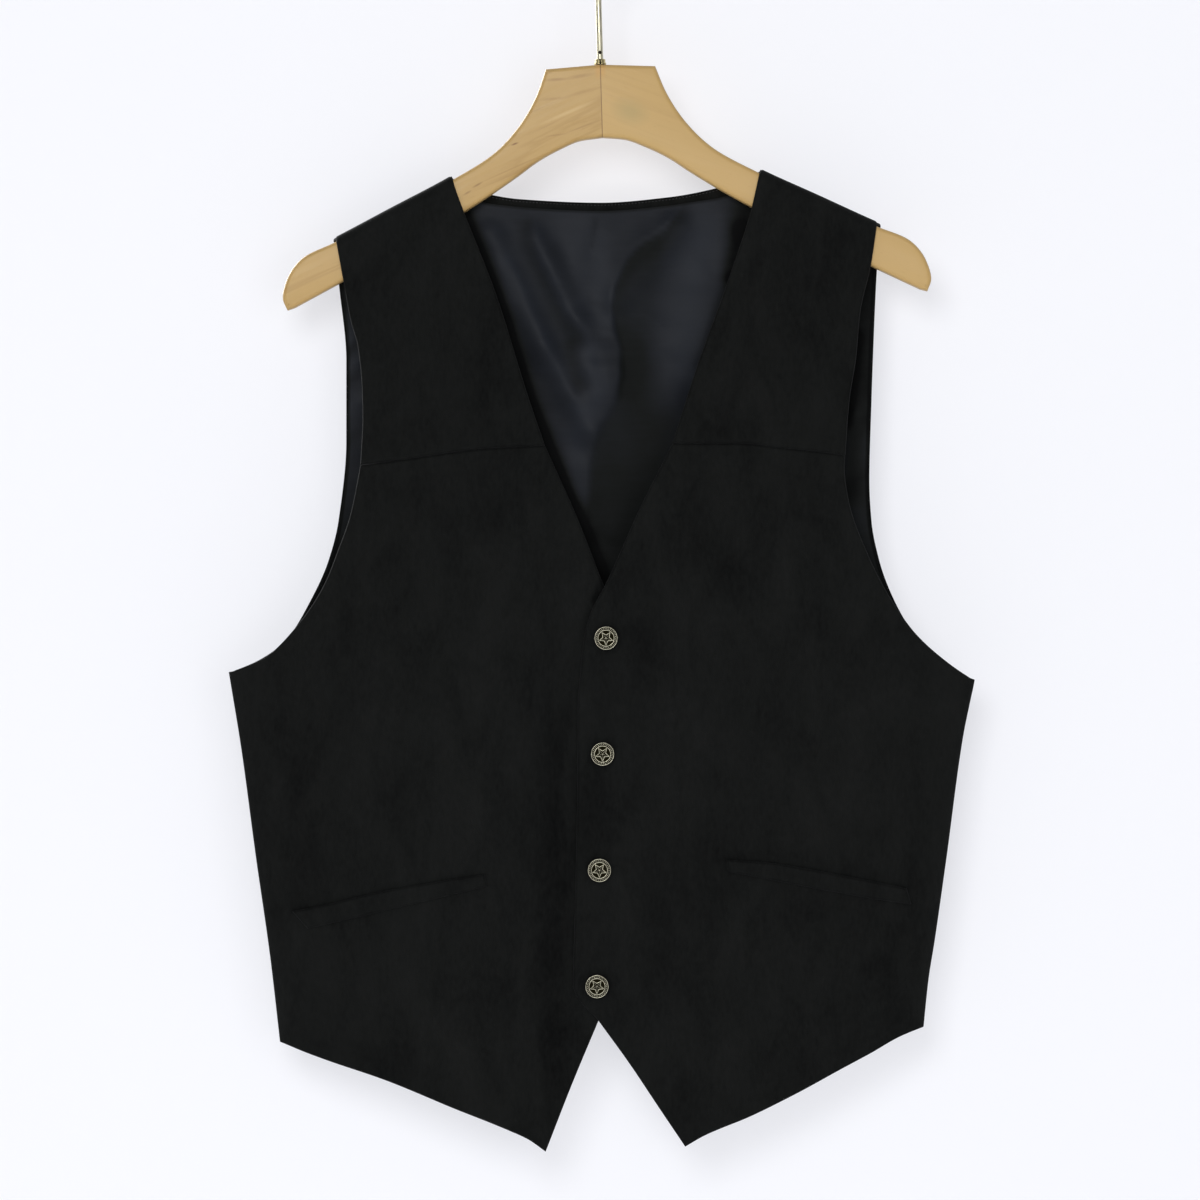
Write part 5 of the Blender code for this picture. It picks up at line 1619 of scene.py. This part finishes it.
def brass_finish(name, colour, roughness, gap=0.0):
    """Polished brass with faint drawing lines, a little tarnish and, if it has a slot, painted
    shade in a strip across the slot.
    """
    made = Finish(name, Metallic=1.0)
    lines = made.noise(made.place(scale=(1.0, 1.0, 0.05)), 2600.0, 2.0, 0.5)
    tarnish = made.noise(made.place(), 160.0, 3.0, 0.6)
    dull = [TARNISH * part for part in colour]
    shade = made.ramp(tarnish, (0.35, dull), (0.65, colour))
    # painted shade in a dark strip across the collar's slot
    if gap:
        in_slot_shade = made.span(joint_distance(made), gap * MM, 1.1 * gap * MM, 1.0, 0.0)
        shade = made.mix(in_slot_shade, shade, SLOT_PAINTED_SHADE)
    made.give(Base_Color=shade,
              Roughness=made.span(tarnish, 0.3, 0.7, roughness * 0.7, roughness * 1.4))
    made.bumps((lines, 0.00003, 0.3))
    return made.material


def thread_finish():
    """Matt black sewing thread."""
    made = Finish("black_thread", Roughness=0.7)
    twist = made.noise(made.place(), 4200.0, 2.0, 0.5)
    made.give(Base_Color=made.ramp(twist, *THREAD_SHADES))
    made.bumps((twist, 0.00005, 0.6))
    return made.material


# ---------------------------------------------------------------- stage, lights and camera
WALL_Y = 0.06
FLOOR_Z = -1.30
STAGE_SIZE = 9.0
BACKDROP_PAINT = (0.34, 0.345, 0.36)
BACKDROP_GLOW = (0.575, 0.578, 0.605)   # evens out the wall's shadows, as a second light would
FLOOR_PAINT = (0.55, 0.55, 0.56)
FLOOR_GLOW = (0.30, 0.30, 0.31)


def stage_plane(name, corners, colour, glow_colour):
    """A large matt plane with a faint glow, seen only from its front, that stops no light."""
    made = bpy.data.materials.new(name)
    made.use_nodes = True
    made.node_tree.nodes.clear()
    tree = Nodes(made.node_tree)
    paint = tree.node("ShaderNodeBsdfDiffuse", {"Color": colour}).outputs[0]
    glow = tree.node("ShaderNodeEmission", {"Color": glow_colour}).outputs[0]
    both = tree.node("ShaderNodeAddShader", {0: paint, 1: glow}).outputs[0]
    clear = tree.node("ShaderNodeBsdfTransparent").outputs[0]
    behind = tree.node("ShaderNodeNewGeometry").outputs["Backfacing"]
    shadow = tree.node("ShaderNodeLightPath").outputs["Is Shadow Ray"]
    is_open = tree.node("ShaderNodeMath", {0: behind, 1: shadow}, operation="MAXIMUM").outputs[0]
    mix = tree.node("ShaderNodeMixShader", {"Fac": is_open, 1: both, 2: clear}).outputs[0]
    tree.node("ShaderNodeOutputMaterial", {"Surface": mix})
    mesh = bpy.data.meshes.new(name)
    mesh.from_pydata(corners, [], [(0, 1, 2, 3)])
    mesh.materials.append(made)
    plane = add_object(name, mesh)


def make_stage():
    """A pale wall behind the vest, seen from the front only, and a pale floor."""
    half = STAGE_SIZE / 2
    stage_plane("backdrop", [(-half, WALL_Y, FLOOR_Z), (half, WALL_Y, FLOOR_Z),
                             (half, WALL_Y, FLOOR_Z + half), (-half, WALL_Y, FLOOR_Z + half)],
                BACKDROP_PAINT, BACKDROP_GLOW)
    stage_plane("floor", [(-half, -half, FLOOR_Z), (half, -half, FLOOR_Z),
                          (half, half, FLOOR_Z), (-half, half, FLOOR_Z)],
                FLOOR_PAINT, FLOOR_GLOW)


LIGHTS = (   # name, place, size, power, colour
    ("key", (-0.55, -3.4, 0.45), 1.2, 60.0, (1.0, 1.0, 1.0)),
    ("fill", (0.8, -3.4, -0.6), 1.7, 26.0, (1.0, 0.995, 1.0)),
    ("rear", (-2.0, 2.2, 0.9), 1.4, 150.0, (1.0, 1.0, 1.0)),
)
LIGHTS_AIM = (0.0, 0.0, -0.48)
ROOM_COLOUR = (0.93, 0.94, 0.96)
ROOM_LIGHT = 0.24         # how brightly it lights the vest,
ROOM_SEEN = 0.80          # and how bright it looks behind it


def area_light(name, place, size, power, colour):
    """A soft light that points at the vest's middle."""
    data = bpy.data.lights.new(name, "AREA")
    data.shape = "SQUARE"
    data.size = size
    data.energy = power
    data.color = colour
    light = add_object(name, data)
    light.location = place
    way = Vector(LIGHTS_AIM) - Vector(place)
    light.rotation_euler = way.to_track_quat("-Z", "Y").to_euler()


def make_lights():
    """Soft key from the upper left, a weaker fill, a rear light, and a pale room."""
    for light in LIGHTS:
        area_light(*light)
    world = bpy.data.worlds.new("room")
    world.use_nodes = True
    tree = Nodes(world.node_tree)
    seen = tree.node("ShaderNodeLightPath").outputs["Is Camera Ray"]
    brightness = tree.node("ShaderNodeMapRange", {
        "Value": seen, "To Min": ROOM_LIGHT, "To Max": ROOM_SEEN}).outputs["Result"]
    background = world.node_tree.nodes["Background"]
    tree.set(background.inputs["Color"], ROOM_COLOUR)
    tree.set(background.inputs["Strength"], brightness)
    bpy.context.scene.world = world


CAMERA_PLACE = (0.0028, -4.0, -0.4753)
CAMERA_PLANE_Y = -0.010   # the plane in which the frame's width is measured
FRAME_WIDTH = 0.84
SENSOR = 36.0


def make_camera():
    """Straight on, at the distance the photo's flat perspective asks for."""
    data = bpy.data.cameras.new("camera")
    data.sensor_width = SENSOR
    data.lens = SENSOR * (CAMERA_PLANE_Y - CAMERA_PLACE[1]) / FRAME_WIDTH
    data.clip_end = 50.0
    camera = add_object("camera", data)
    camera.location = CAMERA_PLACE
    camera.rotation_euler = (math.pi / 2, 0.0, 0.0)
    bpy.context.scene.camera = camera


# ---------------------------------------------------------------- putting it together
def settle(piece, slot, *nodes):
    """Tie a piece to the body and hide the solids that it stands for; the slot is not used."""
    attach(piece, "root")
    if nodes:
        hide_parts(*nodes)


def make_vest():
    """The suede panels, the lining, the welts, the caps and the stitches."""
    suede = suede_finish()
    satin = satin_finish()
    hangs_on = ["hanger_wood_right", "hanger_wood_left"]
    yoke_right = yoke("yoke_right_suede", RIGHT_YOKE_ARMHOLE, RIGHT_YOKE_NECK, RIGHT_YOKE_SEAM,
                      FRONT_RIGHT_FOLDS, YOKE_RIGHT_CREASES, RANDOM_SEED + 2, suede)
    yoke_left = yoke("yoke_left_suede", LEFT_YOKE_ARMHOLE, LEFT_YOKE_NECK, LEFT_YOKE_SEAM,
                     FRONT_LEFT_FOLDS, YOKE_LEFT_CREASES, RANDOM_SEED + 3, suede)
    under = front("front_right_suede", RIGHT_FRONT_OUTER, RIGHT_FRONT_INNER, RIGHT_YOKE_SEAM,
                  RIGHT_HEM, FRONT_RIGHT_FOLDS, FRONT_RIGHT_CREASES, True, RANDOM_SEED + 4, suede)
    over = front("front_left_suede", LEFT_FRONT_OUTER, LEFT_FRONT_INNER, LEFT_YOKE_SEAM,
                 LEFT_HEM, FRONT_LEFT_FOLDS, FRONT_LEFT_CREASES, False, RANDOM_SEED + 5, suede)
    back = back_panel(suede)
    lining = back_lining(satin)
    bpy.context.view_layer.update()
    welt_right = welt("welt_right_suede", RIGHT_WELT, under, suede)
    welt_left = welt("welt_left_suede", LEFT_WELT, over, suede)
    stitches = neck_stitches(back, thread_finish())
    # Piece, slot, solid, size laid flat in m, area in m2, and what it rests on.
    cloth = (
        (yoke_right, "suede", "yoke_right", (0.15, 0.21), 0.0197, hangs_on),
        (yoke_left, "suede", "yoke_left", (0.15, 0.21), 0.0191, hangs_on),
        (under, "suede", "front_right", (0.29, 0.50), 0.1050, [yoke_right]),
        (over, "suede", "front_left", (0.29, 0.50), 0.1040, [yoke_left]),
        (back, "suede", "back_panel", (0.53, 0.62), 0.2510, hangs_on),
        (lining, "lining", "back_lining", (0.51, 0.61), 0.2365, [back]),
        (welt_right, "suede", "welt_right", (0.140, 0.016), 0.00170, [under]),
        (welt_left, "suede", "welt_left", (0.140, 0.016), 0.00160, [over]),
    )
    for piece, slot, node, flat, area, rests_on in cloth:
        settle(piece, slot, node)
        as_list(rests_on)
    settle(stitches, "suede")
    caps = cap_finish()
    for number in range(1, len(BUTTON_Z) + 1):
        settle(snap_cap(f"snap_cap_{number}", f"button_{number}", caps), "antique_brass",
               f"button_{number}")


def make_hanger():
    """The two wooden halves, the hook, its collar and its pin."""
    streaked = wood_finish("wood_streaked", STREAKED_TURN, STREAKED_VEINS, STREAKED_TONES,
                           STREAKED_MARKS)
    plain = wood_finish("wood_plain", PLAIN_TURN, PLAIN_VEINS, PLAIN_TONES, PLAIN_MARKS)
    right = hanger_half("hanger_wood_right", -1.0, streaked)
    left = hanger_half("hanger_wood_left", 1.0, plain)
    drill((right, left))
    settle(right, "wood", "hanger_right")
    settle(left, "wood", "hanger_left")
    brass = brass_finish("hook_wire", HOOK_BRASS, 0.46)
    settle(hook("hook_wire", brass), "hook_brass", "hanger_hook")
    darker = brass_finish("collar_brass", COLLAR_BRASS, 0.30, COLLAR_SLOT[0])
    settle(collar("hook_collar_ring", darker), "hook_brass", "hook_collar")
    settle(pin("hook_pin", brass_finish("dark_pin", PIN_BRASS, 0.45)), "hook_brass")


def clear_scene():
    """Start from nothing."""
    for old in list(bpy.data.objects):
        bpy.data.objects.remove(old, do_unlink=True)


clear_scene()
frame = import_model()
make_hanger()
make_vest()
make_stage()
make_lights()
make_camera()
scene = bpy.context.scene
scene.view_settings.view_transform = "Standard"
